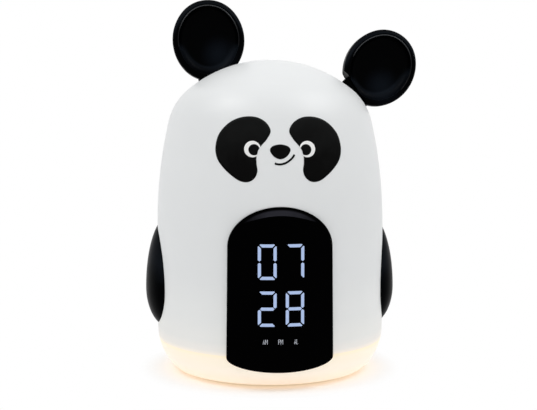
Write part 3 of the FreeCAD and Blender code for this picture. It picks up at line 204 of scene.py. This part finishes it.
def stroke_film(name, centre_line, half_width, surface, material, proud=FILM, thick=FILM):
    """A thin printed line that follows a surface."""
    bm = bmesh.new()
    left, right = stroke_sides(centre_line, half_width)
    layers = []
    for lift in (proud, proud + thick):
        pairs = [
            (bm.verts.new(surface(a.x, a.y, lift)), bm.verts.new(surface(b.x, b.y, lift)))
            for a, b in zip(left, right)
        ]
        layers.append(pairs)
    low, high = layers
    for pairs in layers:
        for one, two in zip(pairs, pairs[1:]):
            bm.faces.new((one[0], two[0], two[1], one[1]))
    for side in (0, 1):
        for index in range(len(low) - 1):
            bm.faces.new((low[index][side], low[index + 1][side], high[index + 1][side], high[index][side]))
    for end in (0, -1):
        bm.faces.new((low[end][0], low[end][1], high[end][1], high[end][0]))
    return new_piece(name, bm, material)


# Materials

def new_material(name):
    material = bpy.data.materials.new(name)
    material.use_nodes = True
    nodes = material.node_tree.nodes
    return material, nodes, material.node_tree.links, nodes["Principled BSDF"]


def add_noise(nodes, links, scale, detail=3.0):
    place = nodes.new("ShaderNodeTexCoord")
    noise = nodes.new("ShaderNodeTexNoise")
    noise.inputs["Scale"].default_value = scale
    noise.inputs["Detail"].default_value = detail
    links.new(place.outputs["Object"], noise.inputs["Vector"])
    return noise


def spread(nodes, links, source, low, high):
    """Bring a 0 to 1 value between two limits."""
    ranger = nodes.new("ShaderNodeMapRange")
    ranger.inputs["From Min"].default_value = 0.3
    ranger.inputs["From Max"].default_value = 0.7
    ranger.inputs["To Min"].default_value = low
    ranger.inputs["To Max"].default_value = high
    links.new(source, ranger.inputs["Value"])
    return ranger.outputs["Result"]


def tint(nodes, links, source, colour, variation):
    """The colour, a little lighter and darker from place to place."""
    ramp = nodes.new("ShaderNodeValToRGB")
    ramp.color_ramp.elements[0].position = 0.3
    ramp.color_ramp.elements[1].position = 0.7
    for element, factor in zip(ramp.color_ramp.elements, (1 - variation, 1 + variation)):
        element.color = (*(min(part * factor, 1.0) for part in colour), 1.0)
    links.new(source, ramp.inputs["Fac"])
    return ramp.outputs["Color"]


def add_bump(nodes, links, shader, scale, strength, distance=0.0001, detail=2.0):
    grain = add_noise(nodes, links, scale, detail)
    bump = nodes.new("ShaderNodeBump")
    bump.inputs["Strength"].default_value = strength
    bump.inputs["Distance"].default_value = distance
    links.new(grain.outputs["Fac"], bump.inputs["Height"])
    links.new(bump.outputs["Normal"], shader.inputs["Normal"])


def moulded(
    name, colour, rough, grain=2500.0, grain_strength=0.12, variation=0.02, metal=0.0, shine=0.5,
):
    """Moulded plastic, rubber or plated metal with a fine grain and slight changes of colour."""
    material, nodes, links, shader = new_material(name)
    cloud = add_noise(nodes, links, 60.0)
    links.new(tint(nodes, links, cloud.outputs["Fac"], colour, variation), shader.inputs["Base Color"])
    wear = add_noise(nodes, links, 220.0, 4.0)
    roughness = spread(nodes, links, wear.outputs["Fac"], rough * 0.88, rough * 1.12)
    links.new(roughness, shader.inputs["Roughness"])
    shader.inputs["Metallic"].default_value = metal
    shader.inputs["Specular IOR Level"].default_value = shine
    add_bump(nodes, links, shader, grain, grain_strength)
    return material


def measure_ramp(nodes, links, source, stops):
    """A colour by a measure in millimetres, such as a height."""
    low, high = stops[0][0], stops[-1][0]
    ranger = nodes.new("ShaderNodeMapRange")
    ranger.inputs["From Min"].default_value = low * MM
    ranger.inputs["From Max"].default_value = high * MM
    links.new(source, ranger.inputs["Value"])
    ramp = nodes.new("ShaderNodeValToRGB")
    ramp.color_ramp.interpolation = "EASE"
    elements = ramp.color_ramp.elements
    while len(elements) < len(stops):
        elements.new(0.5)
    for element, (height, colour) in zip(elements, stops):
        element.position = (height - low) / (high - low)
        element.color = (*colour, 1.0)
    links.new(ranger.outputs["Result"], ramp.inputs["Fac"])
    return ramp.outputs["Color"]


def height_ramp(nodes, links, stops):
    """A colour by height in millimetres."""
    place = nodes.new("ShaderNodeTexCoord")
    split = nodes.new("ShaderNodeSeparateXYZ")
    links.new(place.outputs["Object"], split.inputs["Vector"])
    return measure_ramp(nodes, links, split.outputs["Z"], stops)


def white_shell():
    """Satin white plastic with a painted warm glow near its lower edge, where the night light inside lights
    it.
    """
    material, nodes, links, shader = new_material("white_shell_plastic")
    cloud = add_noise(nodes, links, 35.0)
    links.new(tint(nodes, links, cloud.outputs["Fac"], SHELL_COLOUR, 0.006), shader.inputs["Base Color"])
    wear = add_noise(nodes, links, 180.0, 4.0)
    links.new(spread(nodes, links, wear.outputs["Fac"], 0.4, 0.46), shader.inputs["Roughness"])
    # painted glow: an emission colour by height, warm near the lower edge
    glow = height_ramp(nodes, links, SHELL_GLOW)
    links.new(glow, shader.inputs["Emission Color"])
    shader.inputs["Emission Strength"].default_value = 1.0
    add_bump(nodes, links, shader, 1800.0, 0.06)
    return material


def glow_ring():
    """Milky plastic lit from inside."""
    material, nodes, links, shader = new_material("glow_ring_plastic")
    cloud = add_noise(nodes, links, 45.0)
    links.new(tint(nodes, links, cloud.outputs["Fac"], RING_COLOUR, 0.01), shader.inputs["Base Color"])
    wear = add_noise(nodes, links, 180.0, 4.0)
    links.new(spread(nodes, links, wear.outputs["Fac"], 0.36, 0.44), shader.inputs["Roughness"])
    links.new(height_ramp(nodes, links, RING_GLOW), shader.inputs["Emission Color"])
    shader.inputs["Emission Strength"].default_value = 1.0
    add_bump(nodes, links, shader, 1800.0, 0.05)
    return material


def sheen(name, stops, rough, shine):
    """Black plastic with a painted sheen: its colour is a little lighter where its face leans up towards the
    lamps.
    """
    material, nodes, links, shader = new_material(name)
    geometry = nodes.new("ShaderNodeNewGeometry")
    split = nodes.new("ShaderNodeSeparateXYZ")
    links.new(geometry.outputs["Normal"], split.inputs["Vector"])
    grain = add_noise(nodes, links, 90.0)
    jitter = spread(nodes, links, grain.outputs["Fac"], -0.03, 0.03)
    total = nodes.new("ShaderNodeMath")
    links.new(split.outputs["Z"], total.inputs[0])
    links.new(jitter, total.inputs[1])
    ramp = nodes.new("ShaderNodeValToRGB")
    elements = ramp.color_ramp.elements
    while len(elements) < len(stops):
        elements.new(0.5)
    for element, (lean, colour) in zip(elements, stops):
        element.position = lean
        element.color = (*colour, 1.0)
    links.new(total.outputs["Value"], ramp.inputs["Fac"])
    links.new(ramp.outputs["Color"], shader.inputs["Base Color"])
    wear = add_noise(nodes, links, 220.0, 4.0)
    links.new(spread(nodes, links, wear.outputs["Fac"], rough * 0.9, rough * 1.1), shader.inputs["Roughness"])
    shader.inputs["Specular IOR Level"].default_value = shine
    add_bump(nodes, links, shader, 2500.0, 0.03)
    return material


def lens_plastic():
    """The lens's black, with a painted highlight on its bevel that stops short of a dark line round the arch.
    """
    material = sheen("dark_lens_plastic", LENS_SHEEN, *LENS_FINISH)
    nodes, links = material.node_tree.nodes, material.node_tree.links
    shader = nodes["Principled BSDF"]
    place = nodes.new("ShaderNodeTexCoord")
    oval = nodes.new("ShaderNodeMapping")
    oval.inputs["Scale"].default_value = (1 / (LENS_HALF_WIDTH * MM), 0.0, 1 / (LENS_ARCH_HIGH * MM))
    oval.inputs["Location"].default_value = (0.0, 0.0, 1 - LENS_TOP / LENS_ARCH_HIGH)
    links.new(place.outputs["Object"], oval.inputs["Vector"])
    length = nodes.new("ShaderNodeVectorMath")
    length.operation = "LENGTH"
    links.new(oval.outputs["Vector"], length.inputs[0])
    fade = nodes.new("ShaderNodeMapRange")
    for socket, value in zip(
        ("From Min", "From Max", "To Min", "To Max"), (*ARCH_LINE, 0.0, 1.0)
    ):
        fade.inputs[socket].default_value = value
    links.new(length.outputs["Value"], fade.inputs["Value"])
    both = nodes.new("ShaderNodeMix")
    both.data_type = "RGBA"
    links.new(fade.outputs["Result"], both.inputs["Factor"])
    links.new(shader.inputs["Base Color"].links[0].from_socket, both.inputs["A"])
    both.inputs["B"].default_value = (*LENS_BLACK, 1.0)
    links.new(both.outputs["Result"], shader.inputs["Base Color"])
    return material


def lit(name, colour, strength):
    """A lamp segment or chip that shines evenly, with a faint grain in its cover."""
    material, nodes, links, shader = new_material(name)
    cloud = add_noise(nodes, links, 700.0)
    links.new(tint(nodes, links, cloud.outputs["Fac"], colour, 0.05), shader.inputs["Emission Color"])
    shader.inputs["Base Color"].default_value = (0.02, 0.02, 0.025, 1.0)
    shader.inputs["Roughness"].default_value = 0.25
    shader.inputs["Emission Strength"].default_value = strength
    return material


# Colours. A sheen is a painted highlight, a colour by how far a face leans up, a glow a colour by a
# measure in millimetres, and a finish a roughness with a shine.

SHELL_COLOUR = (0.78, 0.795, 0.8)
# Painted glow on the shell: the night light's warmth as an emission colour by height
SHELL_GLOW = (
    (17.5, (0.24, 0.17, 0.07)),
    (20.5, (0.12, 0.09, 0.055)),
    (25.0, (0.07, 0.06, 0.04)),
    (38.0, (0.035, 0.033, 0.025)),
    (60.0, (0.0, 0.0, 0.0)),
)
RING_COLOUR = (0.7, 0.66, 0.58)
RING_GLOW = (
    (1.0, (0.5, 0.36, 0.26)),
    (3.5, (0.42, 0.32, 0.25)),
    (9.0, (0.38, 0.33, 0.28)),
    (15.0, (0.38, 0.32, 0.24)),
    (18.0, (0.42, 0.31, 0.17)),
)

LENS_BLACK = (0.0003, 0.0003, 0.0004)
ARCH_LINE = (0.9, 0.94)
LENS_SHEEN = (
    (0.0, LENS_BLACK), (0.26, LENS_BLACK), (0.4, (0.022, 0.022, 0.028)),
    (0.5, (0.022, 0.022, 0.028)), (0.62, (0.002, 0.002, 0.004)),
)
EAR_SHEEN = (
    (0.0, (0.0002, 0.0003, 0.0005)), (0.06, (0.0004, 0.0007, 0.001)), (0.2, (0.005, 0.0065, 0.009)),
    (0.45, (0.0035, 0.0042, 0.0055)), (0.8, (0.0015, 0.0018, 0.0024)),
)
LENS_FINISH = (0.08, 0.005)
EAR_FINISH = (0.32, 0.012)
LEVER_FINISH = (0.4, 0.012)
PRINT_FINISH = (0.4, 0.03)
LEVER_SHEEN = ((0.0, (0.0008, 0.0012, 0.0013)), (0.8, (0.004, 0.0048, 0.005)))
PRINT_SHEEN = (
    (0.0, (0.001, 0.001, 0.001)), (0.13, (0.0016, 0.0016, 0.0016)), (0.27, (0.009, 0.0095, 0.0095)),
    (0.6, (0.012, 0.013, 0.013)),
)
MATERIALS = {
    "white_shell": white_shell(),
    "glow_ring": glow_ring(),
    "base_white": moulded("base_white_plastic", (0.74, 0.735, 0.72), 0.45),
    "foot_rubber": moulded("foot_rubber", (0.035, 0.035, 0.035), 0.8, grain=900.0, grain_strength=0.3),
    "black_lens": lens_plastic(),
    "black_ear": sheen("black_ear_plastic", EAR_SHEEN, *EAR_FINISH),
    "black_lever": sheen("black_lever_plastic", LEVER_SHEEN, *LEVER_FINISH),
    "grey_button": moulded("grey_button_rubber", (0.42, 0.42, 0.43), 0.62, grain=1500.0, grain_strength=0.2),
    "inner_white": moulded("inner_white_plastic", (0.8, 0.8, 0.78), 0.5),
    "bracket_grey": moulded("bracket_grey_plastic", (0.28, 0.29, 0.31), 0.5),
    "circuit_green": moulded("circuit_lacquer", (0.012, 0.09, 0.03), 0.35, grain=500.0, variation=0.2),
    "chip_black": moulded("chip_resin", (0.012, 0.012, 0.012), 0.5),
    "warm_lamp": lit("warm_lamp_resin", (1.0, 0.75, 0.4), 1.5),
    "cool_lamp": lit("cool_lamp_resin", (0.6, 0.72, 1.0), 1.0),
    "steel": moulded("plated_steel", (0.6, 0.6, 0.61), 0.3, grain=1200.0, grain_strength=0.1, metal=1.0),
    "spring_brass": moulded("spring_strip", (0.7, 0.5, 0.22), 0.3, metal=1.0),
    "cell_steel": moulded("cell_plating", (0.66, 0.66, 0.67), 0.24, metal=1.0),
    "magnet_grey": moulded("magnet_plating", (0.16, 0.16, 0.17), 0.42, metal=1.0),
    "cone_black": moulded("cone_card", (0.02, 0.02, 0.02), 0.8, grain=800.0, grain_strength=0.35),
}
# The face's print is black ink, with a painted sheen where it leans up
PRINT_BLACK = sheen("printed_black", PRINT_SHEEN, *PRINT_FINISH)
PRINT_WHITE = moulded("printed_white", (0.86, 0.86, 0.85), 0.4, grain_strength=0.05)
DIGIT_LIGHT = lit("digit_light", (0.36, 0.47, 0.72), 1.0)
FLAG_LIGHT = lit("flag_light", (0.55, 0.58, 0.64), 1.0)

for entry in frame["record"]["subparts"]:
    node = frame["nodes"][entry["node"]]
    for index in range(max(1, len(node.material_slots))):
        if not node.material_slots:
            node.data.materials.append(MATERIALS[entry["material_slot"]])
        else:
            node.material_slots[index].material = MATERIALS[entry["material_slot"]]


# The face, printed on the shell. Outlines are for the right eye, as X and height.

PATCH = [
    (4.6, 130.2), (6.6, 134.2), (10.6, 136.8), (15.4, 137.5), (20.6, 136.6), (25.6, 133.8),
    (29.9, 128.7), (31.6, 122.2), (30.8, 116.6), (27.8, 112.0), (23.6, 108.0), (19.6, 105.5),
    (15.6, 105.2), (12.6, 107.2), (11.3, 110.5), (11.7, 114.0), (11.7, 117.4), (10.9, 120.6),
    (9.0, 123.3), (6.4, 126.3),
]
EYE_CENTRE = (13.6, 121.3)
EYE_RADIUS = 4.05
PUPIL_CENTRE = (12.85, 121.0)
PUPIL_RADIUS = 2.75
EYE_EDGE = [(11.7, 117.4), (10.9, 120.6), (9.4, 123.0), (9.0, 125.5)]
NOSE = [
    (-5.05, 121.1), (-4.1, 122.5), (-2.2, 123.3), (0.0, 123.6), (2.2, 123.3), (4.1, 122.5),
    (5.05, 121.1), (4.5, 119.2), (2.6, 117.2), (0.0, 116.3), (-2.6, 117.2), (-4.5, 119.2),
]
SMILE = [(-2.8, 114.2), (-0.4, 113.8), (2.4, 114.4), (4.8, 115.9), (6.2, 117.3), (7.0, 118.6)]
SMILE_HALF = 0.5


def mirrored(points, side):
    return [(across * side, up) for across, up in points]


def clipped(loop, side):
    """The part of an eye's disc that lies on its patch, beside the patch's inner edge."""
    kept = []
    for point in loop:
        across = abs(point.x)
        for (x0, z0), (x1, z1) in zip(EYE_EDGE, EYE_EDGE[1:]):
            if z0 <= point.y <= z1:
                across = max(across, x0 + (x1 - x0) * (point.y - z0) / (z1 - z0))
        kept.append(Vector((across * side, point.y)))
    return kept


def make_face():
    for name, side in (("left", -1), ("right", 1)):
        patch = smooth_loop(mirrored(PATCH, side))
        film(f"{name}_eye_patch", [patch], on_body, PRINT_BLACK, rings=16)
        white = circle_loop((EYE_CENTRE[0] * side, EYE_CENTRE[1]), EYE_RADIUS)
        film(f"{name}_eye_white", [clipped(white, side)], on_body, PRINT_WHITE, proud=FILM * 2)
        pupil = circle_loop((PUPIL_CENTRE[0] * side, PUPIL_CENTRE[1]), PUPIL_RADIUS)
        film(f"{name}_pupil", [clipped(pupil, side)], on_body, PRINT_BLACK, proud=FILM * 3)
    film("nose", [smooth_loop(NOSE)], on_body, PRINT_BLACK)
    stroke_film("smile", open_curve(SMILE), SMILE_HALF, on_body, PRINT_BLACK)


def open_curve(points, steps=8):
    """An open curve through points."""
    ends = [points[0]] + list(points) + [points[-1]]
    line = []
    for before, start, end, after in zip(ends, ends[1:], ends[2:], ends[3:]):
        before, start, end, after = (Vector(point) for point in (before, start, end, after))
        line += [spline_point(before, start, end, after, step / steps) for step in range(steps)]
    line.append(Vector(points[-1]))
    return line


make_face()


# Numerals and flags of the display

SEGMENTS = {"0": "abcdef", "7": "abc", "2": "abged", "8": "abcdefg"}


def bar_end(spot, inwards, outwards, half, at_corner):
    """One end of a lit bar: cut at a slant at a numeral's corner and pointed at its middle."""
    if at_corner:
        return [
            spot + inwards * half * 1.05 - outwards * half,
            spot - inwards * half * 0.5 + outwards * half * 0.5,
            spot - inwards * half * 0.1 + outwards * half,
        ]
    return [
        spot + inwards * half * 0.6 - outwards * half, spot - inwards * half * 0.2,
        spot + inwards * half * 0.6 + outwards * half,
    ]


def segment_loops(numeral, across, middle):
    """The outlines of the lit bars of one numeral."""
    half_wide = (DIGIT_WIDE - STROKE) / 2
    half_high = (DIGIT_HIGH - STROKE) / 2
    corners = {"top": half_high, "mid": 0.0, "low": -half_high}
    bars = {
        "a": ((-1, "top"), (1, "top")), "b": ((1, "top"), (1, "mid")), "c": ((1, "mid"), (1, "low")),
        "d": ((-1, "low"), (1, "low")), "e": ((-1, "mid"), (-1, "low")), "f": ((-1, "top"), (-1, "mid")),
        "g": ((-1, "mid"), (1, "mid")),
    }
    loops = []
    for letter in SEGMENTS[numeral]:
        ends = [Vector((side * half_wide, corners[level])) for side, level in bars[letter]]
        levels = [level for _, level in bars[letter]]
        along = (ends[1] - ends[0]).normalized()
        outwards = Vector((-along.y, along.x))
        if outwards.dot(ends[0] + ends[1]) < 0:
            outwards = -outwards
        first, last = ends[0] + along * SEGMENT_GAP, ends[1] - along * SEGMENT_GAP
        start = bar_end(first, along, outwards, STROKE / 2, levels[0] != "mid")
        finish = bar_end(last, -along, outwards, STROKE / 2, levels[1] != "mid")
        loop = denser(start + finish[::-1])
        loops.append([Vector((across, middle)) + point for point in loop])
    return loops


def denser(corners, steps=4):
    """The same straight-sided outline with points along each side."""
    loop = []
    for start, end in zip(corners, corners[1:] + corners[:1]):
        loop += [start.lerp(end, step / steps) for step in range(steps)]
    return loop


LETTERS = {
    "A": [[(0, 0), (0.3, 1), (0.6, 0)], [(0.12, 0.34), (0.48, 0.34)]],
    "M": [[(0, 0), (0, 1)], [(0, 1), (0.36, 0.35), (0.72, 1)], [(0.72, 1), (0.72, 0)]],
    "P": [[(0, 0), (0, 1), (0.5, 1), (0.6, 0.8), (0.5, 0.5), (0, 0.5)]],
    "L": [[(0, 1), (0, 0), (0.55, 0)]],
}


def make_display():
    for row, (middle, numerals) in ROWS.items():
        for side, numeral in zip((-1, 1), numerals):
            loops = segment_loops(numeral, DIGIT_OFFSET * side, middle)
            place = "tens" if side < 0 else "units"
            film(f"{row}_{place}", loops, on_lens, DIGIT_LIGHT, LIT_FILM, LIT_FILM, rings=3)
    for word, across in FLAGS.items():
        cursor = across - FLAG_LEAD
        for number, letter in enumerate(word):
            for index, stroke in enumerate(LETTERS[letter]):
                line = [
                    (cursor + x * FLAG_WIDE, FLAG_MIDDLE - FLAG_HIGH / 2 + z * FLAG_HIGH)
                    for x, z in stroke
                ]
                name = f"flag_{word}_{number}_{index}"
                stroke_film(name, line, FLAG_HALF, on_lens, FLAG_LIGHT, LIT_FILM, LIT_FILM)
            cursor += FLAG_WIDE * 0.62 + FLAG_GAP


make_display()


# The painted highlight along each ear's bowl, carried by a fine bead

EAR_PIVOT = (23.0, 125.2)
EAR_UP_ANGLE = 11.0
EAR_LEAN_BACK = 9.2
EAR_SWING = 32.4
LEVER_LENGTH = 56.8
EAR_FRONT = -1.0
BOWL_LONG = 18.7
BOWL_SHORT = 16.6
BOWL_END_RADIUS = 15.2
BEAD = 0.28
BEAD_FROM = -5.0
BEAD_SIDES = 8
GLEAM_RISE = (3.0, 14.0)


def oval_points(half_long, half_short, end_radius, steps=24):
    """An upright oval of four arcs that meet tangentially, as across and up."""
    height, narrow = half_long - end_radius, half_short - end_radius
    shift = (height**2 - narrow**2) / (2 * narrow)
    flank_radius = half_short + shift
    flank_turn = math.atan2(height, shift)
    spots = []
    for middle, radius, start, end in (
        ((-shift, 0), flank_radius, -flank_turn, flank_turn),
        ((0, height), end_radius, flank_turn, math.pi - flank_turn),
        ((shift, 0), flank_radius, math.pi - flank_turn, math.pi + flank_turn),
        ((0, -height), end_radius, math.pi + flank_turn, 2 * math.pi - flank_turn),
    ):
        for step in range(steps):
            turn = start + (end - start) * step / steps
            spots.append((middle[0] + radius * math.cos(turn), middle[1] + radius * math.sin(turn)))
    return spots


def turned_by(spot, degrees):
    """A spot as across and up, turned clockwise as seen from the front."""
    turn = math.radians(degrees)
    across, up = spot
    return (
        across * math.cos(turn) + up * math.sin(turn), up * math.cos(turn) - across * math.sin(turn),
    )


def gleam(low, high):
    """Polished black with a painted highlight along its upper part."""
    material, nodes, links, shader = new_material("ear_edge_gleam")
    links.new(
        height_ramp(nodes, links, ((low, (0.002, 0.002, 0.003)), (high, (0.045, 0.048, 0.052)))),
        shader.inputs["Base Color"],
    )
    wear = add_noise(nodes, links, 300.0)
    links.new(spread(nodes, links, wear.outputs["Fac"], 0.2, 0.3), shader.inputs["Roughness"])
    shader.inputs["Specular IOR Level"].default_value = 0.1
    return material


def ear_centre(side, swung):
    """The middle of an ear, as across and up."""
    lever = turned_by((0, LEVER_LENGTH), (EAR_UP_ANGLE + swung) * side)
    return EAR_PIVOT[0] * side + lever[0], EAR_PIVOT[1] + lever[1]


def make_ear_edge_highlight(name, side, swung):
    """A fine bead along the upper part of the mouth of an ear's bowl, which carries a painted highlight."""
    centre = ear_centre(side, swung)
    lean = (EAR_UP_ANGLE - EAR_LEAN_BACK + swung) * side
    bm = bmesh.new()
    rings = []
    upper = [spot for spot in oval_points(BOWL_LONG, BOWL_SHORT, BOWL_END_RADIUS) if spot[1] > BEAD_FROM]
    for spot in upper:
        outwards = Vector(turned_by(spot, lean))
        middle = Vector((centre[0] + outwards.x, EAR_FRONT, centre[1] + outwards.y))
        away = Vector((outwards.x, 0, outwards.y)).normalized()
        ring = []
        for step in range(BEAD_SIDES):
            turn = 2 * math.pi * step / BEAD_SIDES
            offset = away * (BEAD * math.cos(turn)) + Vector((0, BEAD * math.sin(turn), 0))
            ring.append(bm.verts.new((middle + offset) * MM))
        rings.append(ring)
    for ring, following in zip(rings, rings[1:]):
        for step in range(BEAD_SIDES):
            other = (step + 1) % BEAD_SIDES
            bm.faces.new((ring[step], ring[other], following[other], following[step]))
    bm.faces.new(rings[0])
    bm.faces.new(rings[-1])
    material = gleam(centre[1] + GLEAM_RISE[0], centre[1] + GLEAM_RISE[1])
    new_piece(name, bm, material, body="left_ear" if side < 0 else "right_ear")


def glow_in_bowl(name, side, swung, offset):
    """A painted soft highlight low in an ear's bowl, strongest at a spot and fading around it."""
    node = frame["nodes"][name]
    centre = ear_centre(side, swung)
    spot = Vector((centre[0] + offset[0], BOWL_FLOOR, centre[1] + offset[1])) * MM
    material = sheen(f"{name}_plastic", EAR_SHEEN, *EAR_FINISH)
    nodes, links = material.node_tree.nodes, material.node_tree.links
    shader = nodes["Principled BSDF"]
    place = nodes.new("ShaderNodeTexCoord")
    apart = nodes.new("ShaderNodeVectorMath")
    apart.operation = "DISTANCE"
    links.new(place.outputs["Object"], apart.inputs[0])
    apart.inputs[1].default_value = node.matrix_world.inverted() @ spot
    fade = nodes.new("ShaderNodeMapRange")
    fade.interpolation_type = "SMOOTHSTEP"
    for socket, value in (("From Min", 0.0), ("From Max", GLOW_REACH * MM), ("To Min", 1.0), ("To Max", 0.0)):
        fade.inputs[socket].default_value = value
    links.new(apart.outputs["Value"], fade.inputs["Value"])
    both = nodes.new("ShaderNodeMix")
    both.data_type = "RGBA"
    both.blend_type = "ADD"
    links.new(fade.outputs["Result"], both.inputs["Factor"])
    links.new(shader.inputs["Base Color"].links[0].from_socket, both.inputs["A"])
    both.inputs["B"].default_value = (*BOWL_LIGHT, 1.0)
    links.new(both.outputs["Result"], shader.inputs["Base Color"])
    for slot in node.material_slots:
        slot.material = material


BOWL_FLOOR = 2.0
GLOW_REACH = 13.0
# BOWL_LIGHT is a painted highlight colour, added low in each ear's bowl
BOWL_LIGHT = (0.005, 0.007, 0.0105)
# Each ear gets a bead with a painted highlight and a painted glow low in its bowl
for ear, ear_side, ear_swung, glow_offset in (
    ("left_ear", -1, 0.0, (6.4, -7.8)), ("right_ear", 1, EAR_SWING, (1.7, -10.5)),
):
    make_ear_edge_highlight(f"{ear}_edge", ear_side, ear_swung)
    glow_in_bowl(f"{ear}_dish", ear_side, ear_swung, glow_offset)


def lamp(name, place, aim, size, power):
    """A white rectangular softbox that faces a spot."""
    data = bpy.data.lights.new(name, "AREA")
    data.shape = "RECTANGLE"
    data.size, data.size_y = size
    data.energy = power
    light = bpy.data.objects.new(name, data)
    bpy.context.scene.collection.objects.link(light)
    light.location = place
    light.rotation_euler = (Vector(aim) - Vector(place)).to_track_quat("-Z", "Y").to_euler()


def seen_rays(nodes, links):
    """1 for the rays that show the background, straight on, mirrored or through glass."""
    path = nodes.new("ShaderNodeLightPath")
    seen = path.outputs["Is Camera Ray"]
    for ray in ("Is Glossy Ray", "Is Transmission Ray"):
        either = nodes.new("ShaderNodeMath")
        either.operation = "MAXIMUM"
        links.new(seen, either.inputs[0])
        links.new(path.outputs[ray], either.inputs[1])
        seen = either.outputs["Value"]
    return seen


# Floor: a plain white table that keeps the shadow, with a painted warm glow near the clock

def make_floor():
    bm = bmesh.new()
    bmesh.ops.create_grid(bm, x_segments=8, y_segments=8, size=3.0)
    mesh = bpy.data.meshes.new("floor")
    bm.to_mesh(mesh)
    bm.free()
    floor = bpy.data.objects.new("floor", mesh)
    bpy.context.scene.collection.objects.link(floor)
    material, nodes, links, shader = new_material("floor_paper")
    shader.inputs["Base Color"].default_value = (0.9, 0.9, 0.9, 1.0)
    shader.inputs["Roughness"].default_value = 0.9
    shader.inputs["Specular IOR Level"].default_value = 0.1
    place = nodes.new("ShaderNodeTexCoord")
    length = nodes.new("ShaderNodeVectorMath")
    length.operation = "LENGTH"
    links.new(place.outputs["Object"], length.inputs[0])
    fade = nodes.new("ShaderNodeMapRange")
    fade.interpolation_type = "SMOOTHSTEP"
    fade.inputs["From Min"].default_value = FLOOR_FADE[0]
    fade.inputs["From Max"].default_value = FLOOR_FADE[1]
    links.new(length.outputs["Value"], fade.inputs["Value"])
    fade.inputs["To Max"].default_value = FLOOR_WHITE
    glow = measure_ramp(nodes, links, length.outputs["Value"], FLOOR_GLOW)
    links.new(glow, shader.inputs["Emission Color"])
    shader.inputs["Emission Strength"].default_value = 1.0
    white = nodes.new("ShaderNodeEmission")
    both = nodes.new("ShaderNodeMath")
    both.operation = "MULTIPLY"
    links.new(fade.outputs["Result"], both.inputs[0])
    links.new(seen_rays(nodes, links), both.inputs[1])
    mix = nodes.new("ShaderNodeMixShader")
    links.new(both.outputs["Value"], mix.inputs["Fac"])
    links.new(shader.outputs["BSDF"], mix.inputs[1])
    links.new(white.outputs["Emission"], mix.inputs[2])
    links.new(mix.outputs["Shader"], nodes["Material Output"].inputs["Surface"])
    mesh.materials.append(material)


FLOOR_FADE = (0.05, 0.074)
FLOOR_WHITE = 1.0
# Painted light: a warm emission on the floor round the clock, strongest in the shade just under the ring
FLOOR_GLOW = (
    (47.0, (0.3, 0.22, 0.13)), (52.0, (0.12, 0.075, 0.035)), (60.0, (0.09, 0.06, 0.03)),
    (90.0, (0.0, 0.0, 0.0)),
)
make_floor()


def make_world():
    world = bpy.data.worlds.new("studio")
    bpy.context.scene.world = world
    world.use_nodes = True
    nodes, links = world.node_tree.nodes, world.node_tree.links
    back = nodes["Background"]
    back.inputs["Color"].default_value = (1.0, 1.0, 1.0, 1.0)
    back.inputs["Strength"].default_value = AMBIENT
    seen = nodes.new("ShaderNodeBackground")
    seen.inputs["Color"].default_value = (1.0, 1.0, 1.0, 1.0)
    seen.inputs["Strength"].default_value = 1.0
    mix = nodes.new("ShaderNodeMixShader")
    links.new(seen_rays(nodes, links), mix.inputs["Fac"])
    links.new(back.outputs["Background"], mix.inputs[1])
    links.new(seen.outputs["Background"], mix.inputs[2])
    links.new(mix.outputs["Shader"], nodes["World Output"].inputs["Surface"])


AMBIENT = 0.575
LAMP_TURN = 65.0
LAMP_RISE = 50.0
LAMP_AWAY = 1.1
LAMP_AIM = 0.1
LAMP_SIZE = (0.45, 0.45)
LAMP_POWER = 3.6
make_world()
for lamp_name, lamp_turn in (("left_softbox", -LAMP_TURN), ("right_softbox", LAMP_TURN)):
    turn, rise = math.radians(lamp_turn), math.radians(LAMP_RISE)
    reach = LAMP_AWAY * math.cos(rise)
    spot = (reach * math.sin(turn), -reach * math.cos(turn), LAMP_AIM + LAMP_AWAY * math.sin(rise))
    lamp(lamp_name, spot, (0, 0, LAMP_AIM), LAMP_SIZE, LAMP_POWER)

# Camera at the photograph's place: 500 mm from the axis, 123 mm up, a little to the left
PHOTO_WIDTH = 537
FOCAL_PIXELS = 896.0
CAMERA_AWAY = 0.5
CAMERA_HIGH = 0.123
CAMERA_TURN = math.radians(4.9)
HEADING_TRIM = math.radians(0.096)
PITCH = math.radians(3.79)
SENSOR = 36.0


def make_camera():
    data = bpy.data.cameras.new("photo_camera")
    data.sensor_fit = "HORIZONTAL"
    data.sensor_width = SENSOR
    data.lens = FOCAL_PIXELS * SENSOR / PHOTO_WIDTH
    data.clip_start = 0.01
    camera = bpy.data.objects.new("photo_camera", data)
    bpy.context.scene.collection.objects.link(camera)
    camera.location = (
        -CAMERA_AWAY * math.sin(CAMERA_TURN), -CAMERA_AWAY * math.cos(CAMERA_TURN), CAMERA_HIGH,
    )
    camera.rotation_euler = (math.pi / 2 - PITCH, 0, -(CAMERA_TURN - HEADING_TRIM))
    bpy.context.scene.camera = camera


make_camera()
bpy.context.scene.view_settings.view_transform = "Standard"
